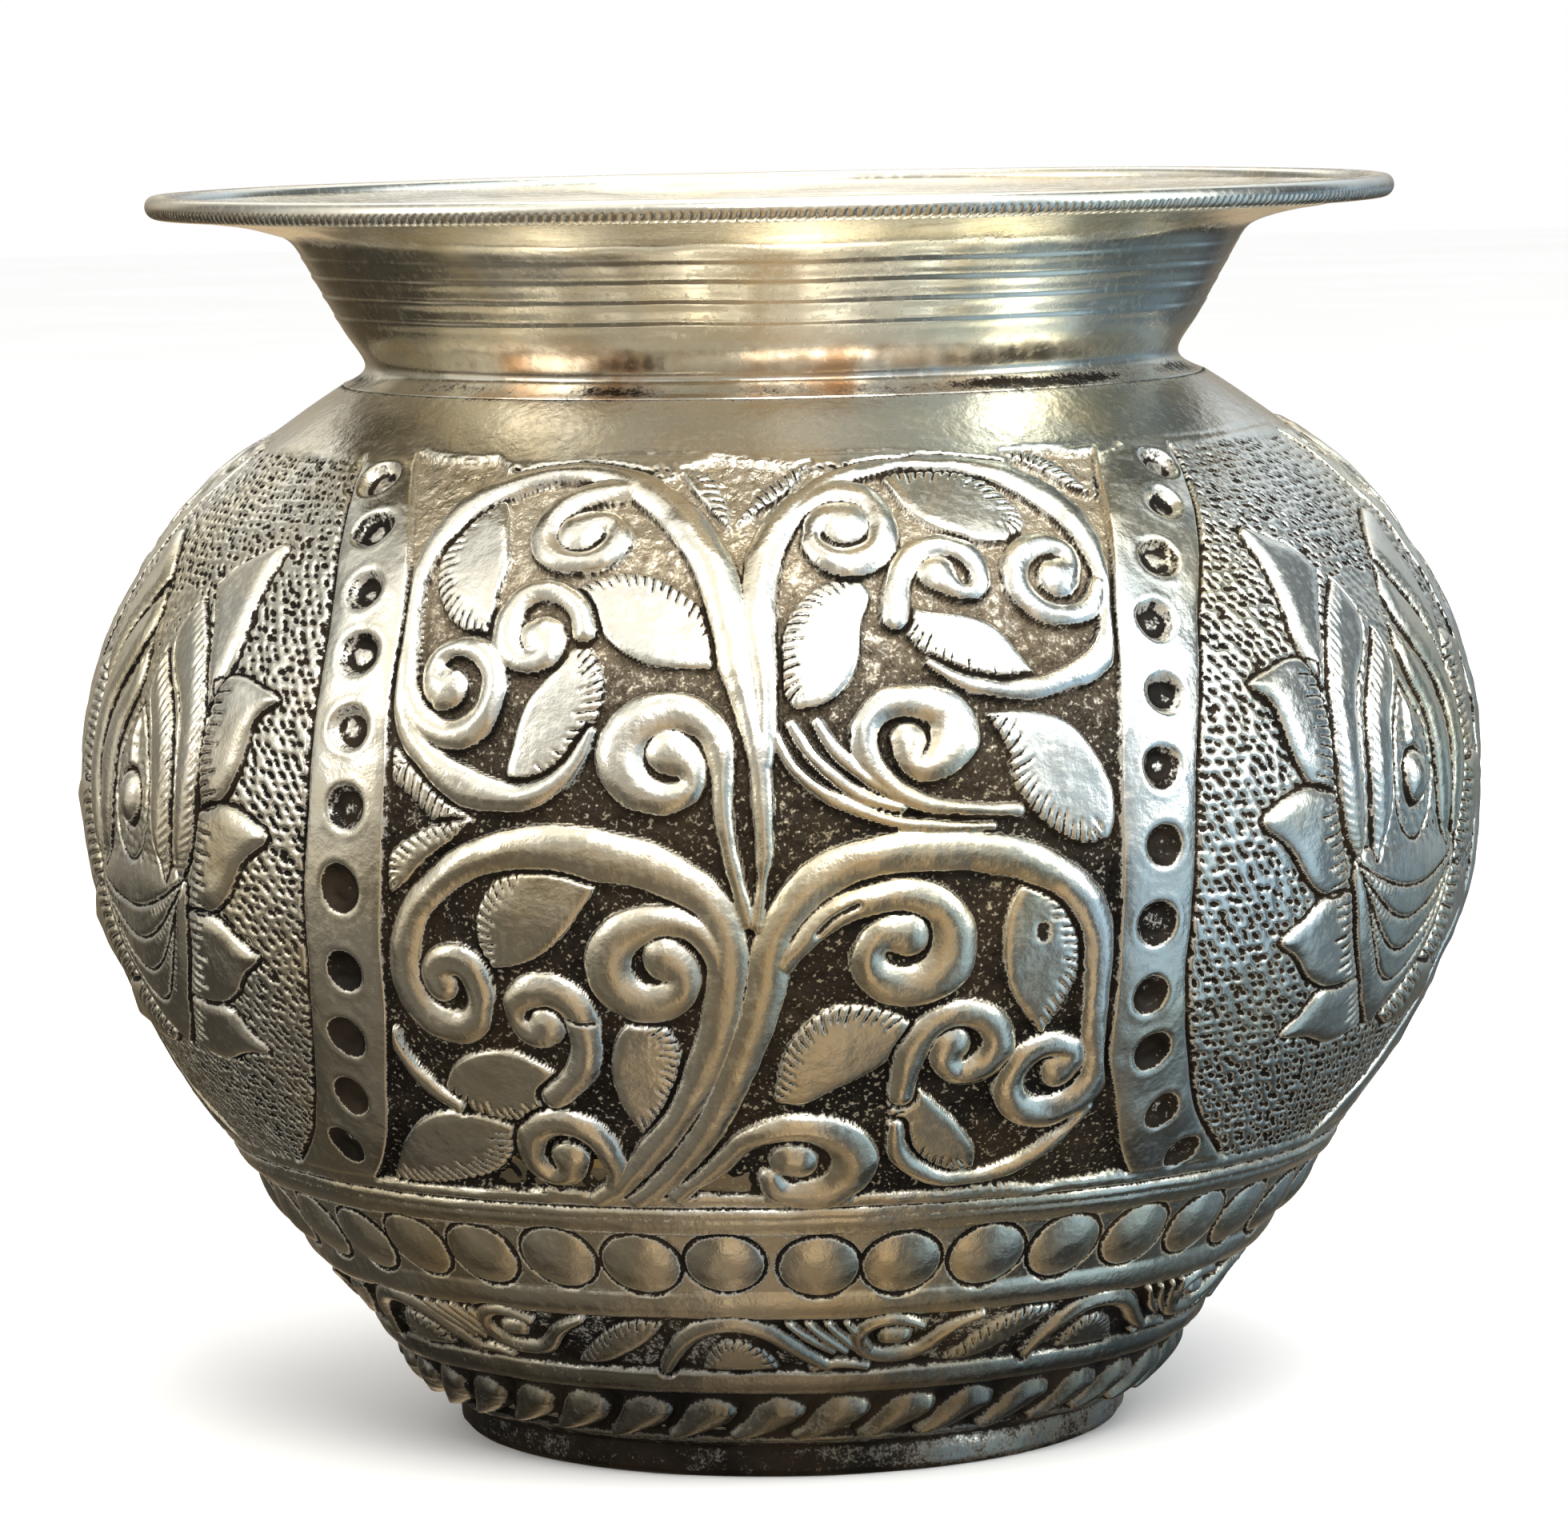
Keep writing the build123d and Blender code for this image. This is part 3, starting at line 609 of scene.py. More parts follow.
def lay_vine(sheet, panel):
    """Leaves first, then the stems over them. The first panel is exact, its copies stray."""
    turn = PANEL_TURN * panel
    rng = np.random.default_rng(40 + panel)
    stray = 0.0 if panel == 0 else 0.16
    for hatched, plain, length in LEAVES:
        angle = turn + rng.normal(0, stray, 2)[0]
        edges = [turned(edge, angle) for edge in leaf_edges(hatched, plain)]
        cells, inside, near, along = outline(sheet, *edges)
        inside = inside + 0.14 + 0.06 * np.sin(along * 5.2) * smooth(1.2, 0.2, near)
        sheet.lay(cells, inside, body(inside, 1.3, base=-0.16, dome=0.30, floor=GROUND))
        sheet.hatch((cells, inside, near, along), length)
        at_least(sheet.cover, smooth(-0.12, 0.12, inside), cells)
    stems = Strokes(sheet)
    for text, widths in STEMS:
        line = points(text)
        move = rng.normal(0, stray * 0.5, (len(line), 2))
        line = [(theta + turn + move[i, 0] * 0.85, level + move[i, 1])
                for i, (theta, level) in enumerate(line)]
        stems.add(line, [half * 1.12 + 0.20 for half in numbers(widths)])
    wobble = 0.085 * sheet.noise(70 + panel, 1.7) + 0.05 * sheet.noise(75 + panel, 0.7)
    inside = stems.inside + np.where(stems.inside > -2, wobble, 0)
    cells, _, _ = sheet.patch(turn - 60, turn + 60, SEAM, 118)
    inside, half = inside[cells], np.maximum(0.35, stems.half[cells])
    dome = 0.34 + 0.32 * np.clip(half, 0, 1.7)
    sheet.lay(cells, inside, body(inside, half, base=-0.20, dome=dome, floor=GROUND, crown=2.0))
    sheet.mark[cells] *= 1 - smooth(-0.15, 0.15, inside)
    at_least(sheet.cover, smooth(-0.12, 0.12, inside), cells)


def cut_vine_marks(sheet):
    """A dark spot on the front panel, and two short grooves on every panel."""
    spot = Strokes(sheet).add([(20.0, 67.9), (20.05, 67.2)], 0.75, reach=1.0).inside
    sheet.height -= 0.22 * smooth(-0.3, 0.6, spot)
    at_least(sheet.mark, 0.85 * smooth(-0.35, 0.4, spot))
    for panel in PANELS:
        turn = PANEL_TURN * panel
        sheet.groove(turned(points("2.6,68.3 3.6,69.6 5.6,70.9"), turn), width=0.30, depth=0.45)
        sheet.groove(turned(points("-17.2,59.7 -16.2,59.5 -15.1,59.4"), turn),
                     width=0.24, depth=0.35)


def lay_straps(sheet):
    """Straps with round dimples, two to a panel."""
    ragged = 0.085 * sheet.noise(66, 1.1)
    gritty = sheet.noise(67, 0.42)
    for panel in PANELS:
        turn = PANEL_TURN * panel
        rng = np.random.default_rng(60 + panel)
        for number, strap in enumerate(STRAPS):
            edge_a, edge_b, dimples = (strap_line(line, panel) for line in strap)
            cells, inside, _, _ = outline(sheet, turned(edge_a, turn), turned(edge_b, turn))
            level = sheet.level[cells]
            share = smooth(117.3, 115.6, level) * smooth(38.2, 39.6, level)
            sheet.lay(cells, inside, body(inside, 2.4, base=-0.02, dome=0.26, floor=-0.5),
                      moat=0.85, depth=-0.62, share=share)
            at_least(sheet.cover, smooth(-0.12, 0.12, inside), cells)
            sheet.mark[cells] *= 1 - smooth(-0.1, 0.15, inside)
            edge = ridge(inside, -0.30, 0.36) * share * (0.75 + 0.25 * smooth(110, 96, level))
            at_least(sheet.mark, edge, cells)
            for theta, level in dimples:
                if 40 <= level <= 116:
                    sink_dimple(sheet, theta + turn, level, rng.normal(0, 0.10, 4),
                                0.10 * number, ragged, gritty)


def sink_dimple(sheet, theta, level, stray, paler, ragged, gritty):
    theta, level = theta + stray[0], level + stray[1]
    half = 2.28 + 0.8 * stray[2]
    inside = Strokes(sheet).add([(theta, level), (theta + 0.02, level)], half, reach=1.2).inside
    inside = inside + np.where(inside > -2, ragged, 0)
    sheet.height -= 0.95 * smooth(-0.12, 1.25, inside)
    sheet.height += 0.05 * ridge(inside, -0.42, 0.36)
    sheet.height += 0.07 * gritty * smooth(0.2, 0.6, inside)
    dark = 0.84 - 0.56 * smooth(66, 94, level - stray[1]) - paler + 0.9 * stray[3]
    rim = ridge(inside, 0.35, 0.40) * (inside > -0.1)
    dark = (smooth(0.0, 0.4, inside) * dark + 0.30 * rim) * (1 + 0.10 * gritty)
    at_least(sheet.pit, np.clip(dark, 0, 1))


def lay_petals(sheet, centre):
    rng = np.random.default_rng(int(centre) + 200)
    for side in (1, -1):
        for hatched, plain, length in PETALS:
            stray = rng.normal(0, 0.12)
            edges = [[(centre + side * (theta + stray), level) for theta, level in edge]
                     for edge in leaf_edges(hatched, plain)]
            piece = outline(sheet, *edges)
            cells, inside = piece[:2]
            sheet.lay(cells, inside, body(inside, 1.9, base=0.02, dome=0.50, floor=-0.1),
                      moat=0.5, depth=-0.5)
            if length:
                sheet.hatch(piece, length, pitch=1.0, slant=-0.12, depth=0.28)
            else:
                sheet.hatch(piece, 1.25, pitch=1.0, slant=1.0, depth=0.13, dark=0.7)
            at_least(sheet.mark, 0.9 * ridge(inside, -0.12, 0.22), cells)
            at_least(sheet.cover, smooth(-0.3, 0.0, inside), cells)


def lay_calyx(sheet, centre):
    """Nested drooping ribs that run out of the feet of the petals."""
    edges = [[(centre + side * theta, level) for theta, level in CALYX] for side in (1, -1)]
    cells, inside, _, _ = outline(sheet, *edges)
    share = smooth(73.4, 68.8, sheet.level[cells])
    sheet.lay(cells, inside, body(inside, 2.6, base=0.05, dome=0.45, floor=-0.1),
              moat=0.55, depth=-0.55, share=share)
    at_least(sheet.cover, smooth(-0.3, 0.0, inside) * share, cells)
    at_least(sheet.mark, ridge(inside, -0.14, 0.26) * share, cells)
    for low, end, half in CALYX_RIBS:
        rib = [(centre + half * t, low + (end - low) * abs(t) ** 1.9)
               for t in (-1, -0.8, -0.55, -0.28, 0, 0.28, 0.55, 0.8, 1)]
        sheet.groove(rib, width=0.27, depth=0.34)
        # a row of ticks just below the groove, only towards its ends
        row = Strokes(sheet).add([(theta, level - 0.75) for theta, level in rib], 0.5, reach=0.5)
        out = abs(sheet.away(centre)) / half
        tick = (0.5 + 0.5 * np.cos(row.along * 2 * math.pi / 0.8)) ** 2.5
        tick = smooth(-0.05, 0.15, row.inside) * tick * smooth(0.3, 0.5, out) \
            * smooth(1.0, 0.9, out)
        sheet.height -= 0.14 * tick
        at_least(sheet.mark, 0.7 * tick)


def lay_flower_heart(sheet, centre, bead_half=2.45):
    """The almond, the drop and the bead in the heart of a flower."""
    sheet.groove(turned(ALMOND, centre), width=0.25, depth=0.3)
    drop = Strokes(sheet).add([(centre, 85.8), (centre, 83.4), (centre, 81.6)], [0.2, 1.0, 1.2])
    sheet.height += 0.45 * smooth(-0.1, 0.9, drop.inside)
    bead = Strokes(sheet).add([(centre, 77.6), (centre, 78.1)], bead_half, reach=1.2).inside
    sheet.height -= 0.45 * ridge(bead, -0.05, 0.25)
    sheet.height += 0.95 * (1 - (1 - np.clip(bead / bead_half, 0, 1)) ** 2)
    at_least(sheet.cover, smooth(-0.3, 0, bead))
    at_least(sheet.mark, ridge(bead, -0.05, 0.24))


def border_belly(sheet):
    """A faint broken line under the shoulder, and a plain border above the seam."""
    line = ridge(sheet.level - 0.15 * sheet.noise(12, 6.0), 117.5, 0.3) \
        * np.clip(0.35 + 0.6 * sheet.noise(11, 5.0), 0, 1)
    sheet.height -= 0.12 * line
    at_least(sheet.mark, 0.3 * line)
    edge = smooth(39.0, 38.1, sheet.level)
    sheet.height += (np.maximum(sheet.height, 0.10) - sheet.height) * edge
    at_least(sheet.cover, edge)
    sheet.mark *= 1 - 0.8 * edge


def roughen_belly(sheet):
    """Punch dents, matting, and hammered unevenness that is softer on the shoulder."""
    level, noise = sheet.level, sheet.noise
    sheet.ground *= 1 - smooth(0.15, 0.75, sheet.cover)
    sheet.punch *= 1 - smooth(0.1, 0.7, sheet.cover)
    sheet.height -= 0.40 * sheet.punch * (0.6 + 0.4 * smooth(113, 98, level))
    sheet.punch *= 0.62 + 0.38 * smooth(113, 94, level)
    sheet.height += 0.10 * (noise(21, 0.34) * 0.6 + noise(22, 0.75) * 0.55) * sheet.ground
    wave = 0.075 * noise(31, 4.2) + 0.06 * noise(32, 9.0)
    sheet.height += wave * (0.25 + 0.75 * smooth(121, 114, level))
    below = smooth(119, 115, level)
    sheet.height += (0.044 * noise(33, 1.3) + 0.034 * noise(36, 2.4)) * below
    sheet.height += 0.012 * noise(37, 0.6) * sheet.cover * below


def chase_belly():
    sheet = Sheet(SEAM, TOP)
    for panel in PANELS:
        mark_panel_ground(sheet, panel)
    sheet.height = GROUND * sheet.ground
    punch_flower_ground(sheet)
    for panel in PANELS:
        lay_vine(sheet, panel)
    # chased lines that stray out of the panels stay shallow near the shoulder
    upper = (sheet.level > 112) & (sheet.ground < 0.5)
    sheet.height = np.where(upper, np.maximum(sheet.height, -0.22), sheet.height)
    cut_vine_marks(sheet)
    lay_straps(sheet)
    for centre in FLOWERS:
        lay_petals(sheet, centre)
        lay_calyx(sheet, centre)
        lay_flower_heart(sheet, centre)
    border_belly(sheet)
    roughen_belly(sheet)
    age(sheet)
    return sheet


def age(sheet):
    """Add patina from how deep a spot lies below its surroundings, painted shade on steep sides,
    painted light on the high ground, and wear on proud edges.
    """
    height, ground = sheet.height, sheet.ground
    hollow = blur(height, 0.75, sheet) - height
    wide_hollow = blur(height, 2.2, sheet) - height
    patina = smooth(0.05, 0.34, hollow) * 0.75 + smooth(0.1, 0.7, wide_hollow) * 0.35
    patina = np.maximum(patina, 0.92 * sheet.mark)
    patina = np.maximum(patina, sheet.pit)
    # patina and painted shade: the steep sides of raised work are darkened, most of all where they
    # face down, and less near the shoulder
    slope_x = np.gradient(height, axis=1) / (sheet.radius[:, None] * 2 * math.pi / COLUMNS)
    slope_y = np.gradient(height, axis=0) / sheet.pitch
    side = smooth(0.55, 1.5, np.hypot(slope_x, slope_y)) \
        * (0.62 + 0.30 * np.clip(slope_y, -1, 1)) * (1 + 0.15 * sheet.noise(52, 1.2))
    side = side * (1 - 0.35 * smooth(92, 112, sheet.level))
    patina = np.maximum(patina, np.clip(side, 0, 0.95))
    # painted light: the punched ground carries less patina towards the shoulder, so it is lighter
    # there, as if lit from above
    clear = 0.40 * smooth(84, 112, sheet.level) + 0.15 * smooth(58, 86, sheet.level)
    patina = np.minimum(patina, 1 - (clear - 0.05) * ground)
    matting = ground * np.clip(0.97 - clear - 0.09 * sheet.noise(51, 0.3), 0, 1)
    patina = np.maximum(patina, matting)
    patina = np.maximum(patina, np.clip(sheet.punch * 2.7 - 0.30, 0, 1))
    sheet.patina = np.clip(patina, 0, 1)
    sheet.wear = smooth(0.03, 0.25, -hollow)


# ==== relief of the bowl ===============================================================

def lay_bosses(sheet, count=39, level=29.9):
    """A band of oval bosses under the seam."""
    sheet.height -= 0.22 * smooth(25.6, 26.1, sheet.level) * smooth(34.1, 33.6, sheet.level)
    rng = np.random.default_rng(3)
    for k in range(count):
        stray = rng.normal(0, 1, 5)
        theta = 2.6 + k * 360.0 / count + 0.22 * stray[0]
        cells, rows, angles = sheet.patch(theta - 6.5, theta + 6.5, 25, 35)
        x = np.radians(angles - theta)[None, :] * sheet.radius[rows][:, None]
        y = (sheet.levels[rows] - (level + 0.16 * stray[1]))[:, None] + 0 * x
        half_x = math.radians(4.25 + 0.07 * stray[2]) * sheet.radius[rows][:, None]
        half_y = 3.95 + 0.10 * stray[3]
        out = np.sqrt((x / half_x) ** 2 + (y / half_y) ** 2)
        inside = (1 - out) * np.minimum(half_x, half_y)
        dome = -0.14 + 0.78 * (1 - np.clip(out, 0, 1) ** 2.2)
        sheet.lay(cells, inside, -0.22 + (dome + 0.22) * smooth(-0.1, 0.25, inside),
                  moat=0.40, depth=-0.52)
        at_least(sheet.mark, ridge(inside, -0.10, 0.34), cells)
    broken = 0.5 + 0.5 * np.clip(sheet.noise(8, 6), 0, 1)
    at_least(sheet.mark, 0.65 * ridge(sheet.level, 34.2, 0.22) * broken)
    at_least(sheet.mark, 0.35 * ridge(sheet.level, 36.2, 0.2))
    sheet.height -= 0.10 * ridge(sheet.level, 36.2, 0.22)


def lay_scroll_band(sheet, floor=-0.62):
    """A leaf-scroll band on a low ground, its repeats unevenly spread round the pot."""
    band = smooth(14.2, 14.7, sheet.level) * smooth(22.5, 22.0, sheet.level)
    sheet.height += (floor - sheet.height) * band

    def spread(line, repeat):
        out = []
        for along, level in line:
            base = (repeat + along / SCROLL_PITCH) / SCROLL_REPEATS * 360
            out.append((12.5 + base - 3.86 * math.sin(math.radians(base)), level))
        return out

    stems = Strokes(sheet)
    for repeat in range(-3, 4):
        for line, widths in SCROLL_STEMS:
            stems.add(spread(line, repeat), widths)
        for hatched, plain in SCROLL_LEAVES:
            edges = [spread(edge, repeat) for edge in leaf_edges(hatched, plain)]
            piece = outline(sheet, *edges)
            cells, inside = piece[:2]
            sheet.lay(cells, inside, body(inside, 1.2, base=-0.25, dome=0.45, floor=floor))
            sheet.hatch(piece, 1.3, depth=0.12)
    half = np.maximum(0.35, stems.half) * 1.1
    sheet.lay(..., stems.inside,
              body(stems.inside, half, base=-0.3, dome=0.72, floor=floor, crown=2.0))


def lay_rope_band(sheet, low=4.6, high=11.5, count=38):
    """A rope band of overlapping slanted strands."""
    band = smooth(low - 0.3, low + 0.2, sheet.level) * smooth(high + 0.2, high - 0.3, sheet.level)
    sheet.height += (-0.75 - sheet.height) * band
    rng = np.random.default_rng(9)
    strand = points("-6.6,5.4 -3.9,6.3 -1.2,7.9 0.4,8.7 2.2,9.0")
    for k in range(count):
        theta = 7.2 + k * 360.0 / count + 0.18 * rng.normal()
        strokes = Strokes(sheet).add(turned(strand, theta), [.8, 1.6, 2.4, 2.45, 1.6], reach=0.8)
        cells, _, _ = sheet.patch(theta - 12, theta + 7, 3.6, 12.5)
        inside = strokes.inside[cells]
        height = body(inside, strokes.half[cells], base=-0.60, dome=1.35, floor=-0.80, crown=1.9)
        sheet.lay(cells, inside, height, moat=0.5, depth=-0.85)
    sheet.height += (blur(sheet.height, 0.26, sheet) - sheet.height) * band
    at_least(sheet.mark, 0.5 * ridge(sheet.level, high, 0.3))


def soil_and_shade_bowl(sheet):
    """Roughness, soil in the low ground, and soil with painted shade that grows towards the foot.
    """
    level, noise = sheet.level, sheet.noise
    sheet.height += 0.05 * noise(24, 0.5) * smooth(-0.35, -0.55, sheet.height)
    sheet.height += 0.06 * noise(34, 4.5) + 0.032 * noise(35, 1.4) + 0.012 * noise(38, 0.6)
    # painted shade and soil: the rope band and the wall just above the foot ring are darkened
    rope_soil_and_shade = smooth(13.5, 11.0, level)
    low = 0.20 + 0.75 * smooth(0.10, -0.45, sheet.height) + 0.07 * noise(39, 1.5)
    middle = 0.12 + 0.6 * smooth(0.0, -0.45, sheet.height) + 0.07 * noise(40, 1.5)
    at_least(sheet.pit, rope_soil_and_shade * np.clip(low, 0, 1))
    at_least(sheet.pit, smooth(26, 21, level) * (1 - rope_soil_and_shade) * np.clip(middle, 0, 1))
    at_least(sheet.pit, 0.80 * smooth(FOOT + 2.2, FOOT + 0.4, level))
    # the relief fades to the smooth wall above the foot ring
    sheet.height *= smooth(FOOT, FOOT + 0.8, level)


def chase_bowl():
    sheet = Sheet(FOOT, SEAM)
    stray = 0.16 * sheet.noise(41, 5.0)
    # three plain fillets part the bands
    for middle, half in ((35.7, 1.85), (24.0, 1.75), (12.75, 1.55)):
        x = (sheet.level + stray - middle) / (half * 1.12)
        sheet.height += 0.38 * np.clip(1 - x * x, 0, 1) ** 1.4
    lay_bosses(sheet)
    lay_scroll_band(sheet)
    lay_rope_band(sheet)
    soil_and_shade_bowl(sheet)
    age(sheet)
    return sheet


# ==== meshes of revolution =============================================================

PATINA_AND_SHADE, GROUND_MASK, INSIDE, WEAR = range(4)     # channels of the relief attribute


class Rings:
    """Rings round the axis: radius and height per row and column in mm, and the paint that
    becomes the relief attribute. Radii and heights may be given per row only."""

    def __init__(self, radius, height, columns=None, patina=0.0, inside=0.0):
        self.radius, self.height = np.asarray(radius, float), np.asarray(height, float)
        if self.radius.ndim == 1:
            self.radius = np.repeat(self.radius[:, None], columns, 1)
            self.height = np.repeat(self.height[:, None], columns, 1)
        self.paint = np.zeros(self.radius.shape + (4,), np.float32)
        self.paint[..., PATINA_AND_SHADE] = patina
        self.paint[..., INSIDE] = inside

    def xyz(self):
        columns = self.radius.shape[1]
        theta = np.radians(-180 + np.arange(columns) * 360.0 / columns)[None, :]
        return self.radius * np.sin(theta), -self.radius * np.cos(theta), self.height

    def push(self, amount):
        """Move along the normal of the profile by amount, in mm."""
        normal_r, normal_z = outward(self.radius.mean(1), self.height.mean(1))
        self.radius = self.radius + normal_r[:, None] * amount
        self.height = self.height + normal_z[:, None] * amount


def path_rows(path, step, soften):
    """Evenly spaced (r, z) along straight runs, with the corners softened."""
    r, z = np.array(path, float).T
    along = lengths(r, z)
    count = max(2, int(round(along[-1] / step)))
    even = np.linspace(0, along[-1], count + 1)
    k = max(1, int(round(soften / (along[-1] / count))))
    kernel = np.hanning(2 * k + 3)[1:-1]
    kernel /= kernel.sum()
    pad = len(kernel) // 2
    index = np.arange(count + 1)
    weight = np.minimum(1, np.minimum(index, index[::-1]) / (pad + 1e-9))
    out = []
    for values in (np.interp(even, along, r), np.interp(even, along, z)):
        soft = np.convolve(np.pad(values, pad, mode="edge"), kernel, "valid")
        out.append(values + (soft - values) * weight)
    return out


def waves(seed, size, place, count=28):
    """Smooth noise of unit spread at places (x, y, z) in mm, as a sum of plane waves."""
    rng = np.random.default_rng(seed)
    vectors = rng.normal(0, 1, (count, 3))
    vectors *= (2 * math.pi / (size * 2.6)) * rng.uniform(0.6, 1.5, (count, 1)) \
        / np.linalg.norm(vectors, axis=1, keepdims=True)
    phase = rng.uniform(0, 2 * math.pi, count)
    x, y, z = place
    total = sum(np.sin(a * x + b * y + c * z + start)
                for (a, b, c), start in zip(vectors, phase))
    return total / math.sqrt(count / 2)


def corner(ring, k):
    """Face corners at columns k of a ring (first vertex, columns, v): vertex index, u, v."""
    first, columns, v = ring
    return np.stack([first + k % columns, k / columns, v + 0.0 * k], -1)


def join(ring0, ring1):
    """Faces between two rings; one column count is a multiple of the other."""
    count0, count1 = ring0[1], ring1[1]
    k = np.arange(min(count0, count1))
    if count0 == count1:
        return [np.stack([corner(ring0, k), corner(ring0, k + 1),
                          corner(ring1, k + 1), corner(ring1, k)], 1)]
    ratio = max(count0, count1) // len(k)
    half = ratio // 2
    faces = []
    for i in range(ratio):
        fine = k * ratio + i
        coarse = k if i < half else k + 1
        if count0 > count1:
            corners = corner(ring0, fine), corner(ring0, fine + 1), corner(ring1, coarse)
        else:
            corners = corner(ring0, coarse), corner(ring1, fine + 1), corner(ring1, fine)
        faces.append(np.stack(corners, 1))
    middle = k * ratio + half
    if count0 > count1:
        corners = corner(ring0, middle), corner(ring1, k + 1), corner(ring1, k)
    else:
        corners = corner(ring0, k), corner(ring0, k + 1), corner(ring1, middle)
    return faces + [np.stack(corners, 1)]


def loft(name, blocks, weights=None, poles=None):
    """One watertight mesh from blocks of rings that follow each other. Without poles the last
    ring joins the first; poles are the heights of the two points that close the ends. Weights
    scale the share of each block in the UV map."""
    counts = [len(block.radius) for block in blocks]
    weight = np.repeat(weights or [1.0] * len(blocks), counts)
    mean_r = np.concatenate([block.radius.mean(1) for block in blocks])
    mean_z = np.concatenate([block.height.mean(1) for block in blocks])
    steps = np.maximum(0.02, np.hypot(np.diff(mean_r), np.diff(mean_z)) * weight[1:])
    v = np.concatenate([[0], np.cumsum(steps)])
    if poles:
        v += 1.0
        v /= v[-1] + 1.0
    else:
        v /= v[-1] + max(0.02, math.hypot(mean_r[0] - mean_r[-1], mean_z[0] - mean_z[-1]))

    columns = np.repeat([block.radius.shape[1] for block in blocks], counts)
    first = np.cumsum(columns) - columns
    rings = list(zip(first.tolist(), columns.tolist(), v.tolist()))
    vertices = [np.stack(block.xyz(), -1).reshape(-1, 3) for block in blocks]
    paint = [block.paint.reshape(-1, 4) for block in blocks]
    faces = []
    for ring0, ring1 in zip(rings, rings[1:]):
        faces += join(ring0, ring1)
    if poles:
        total = int(columns.sum())
        for end, ring in ((0, rings[0]), (1, rings[-1])):
            vertices.append(np.array([[0, 0, poles[end]]]))
            paint.append(blocks[-end].paint[-end, :1])
            k = np.arange(ring[1])
            tip = np.stack([total + end + 0 * k, (k + 0.5) / ring[1], float(end) + 0 * k], -1)
            sides = [corner(ring, k + 1), corner(ring, k)]
            faces.append(np.stack([tip] + (sides[::-1] if end else sides), 1))
    else:
        faces += join(rings[-1], (*rings[0][:2], 1.0))
    # four-sided faces come first
    faces.sort(key=lambda face: -face.shape[1])
    return build_mesh(name, np.concatenate(vertices), np.concatenate(paint), faces)


def build_mesh(name, vertices, paint, faces):
    corners = np.concatenate([face.reshape(-1, 3) for face in faces])
    sizes = np.concatenate([np.full(len(face), face.shape[1]) for face in faces])
    mesh = bpy.data.meshes.new(name)
    mesh.vertices.add(len(vertices))
    mesh.vertices.foreach_set("co", (vertices.astype(np.float32) * MM).reshape(-1))
    mesh.loops.add(len(corners))
    mesh.loops.foreach_set("vertex_index", corners[:, 0].astype(np.int32))
    mesh.polygons.add(len(sizes))
    mesh.polygons.foreach_set("loop_start", (np.cumsum(sizes) - sizes).astype(np.int32))
    mesh.update(calc_edges=True)
    mesh.polygons.foreach_set("use_smooth", np.ones(len(sizes), bool))
    # the map stays a little clear of the edges of its square
    uv = 0.003 + 0.994 * corners[:, 1:]
    layer = mesh.uv_layers.new(name="OFBake")
    layer.data.foreach_set("uv", uv.astype(np.float32).reshape(-1))
    relief = mesh.attributes.new("relief", "FLOAT_COLOR", "POINT")
    relief.data.foreach_set("color", paint.astype(np.float32).reshape(-1))
    mesh.validate()
    mesh.update()
    thing = bpy.data.objects.new(name, mesh)
    bpy.context.scene.collection.objects.link(thing)
    return thing


# ==== node trees =======================================================================

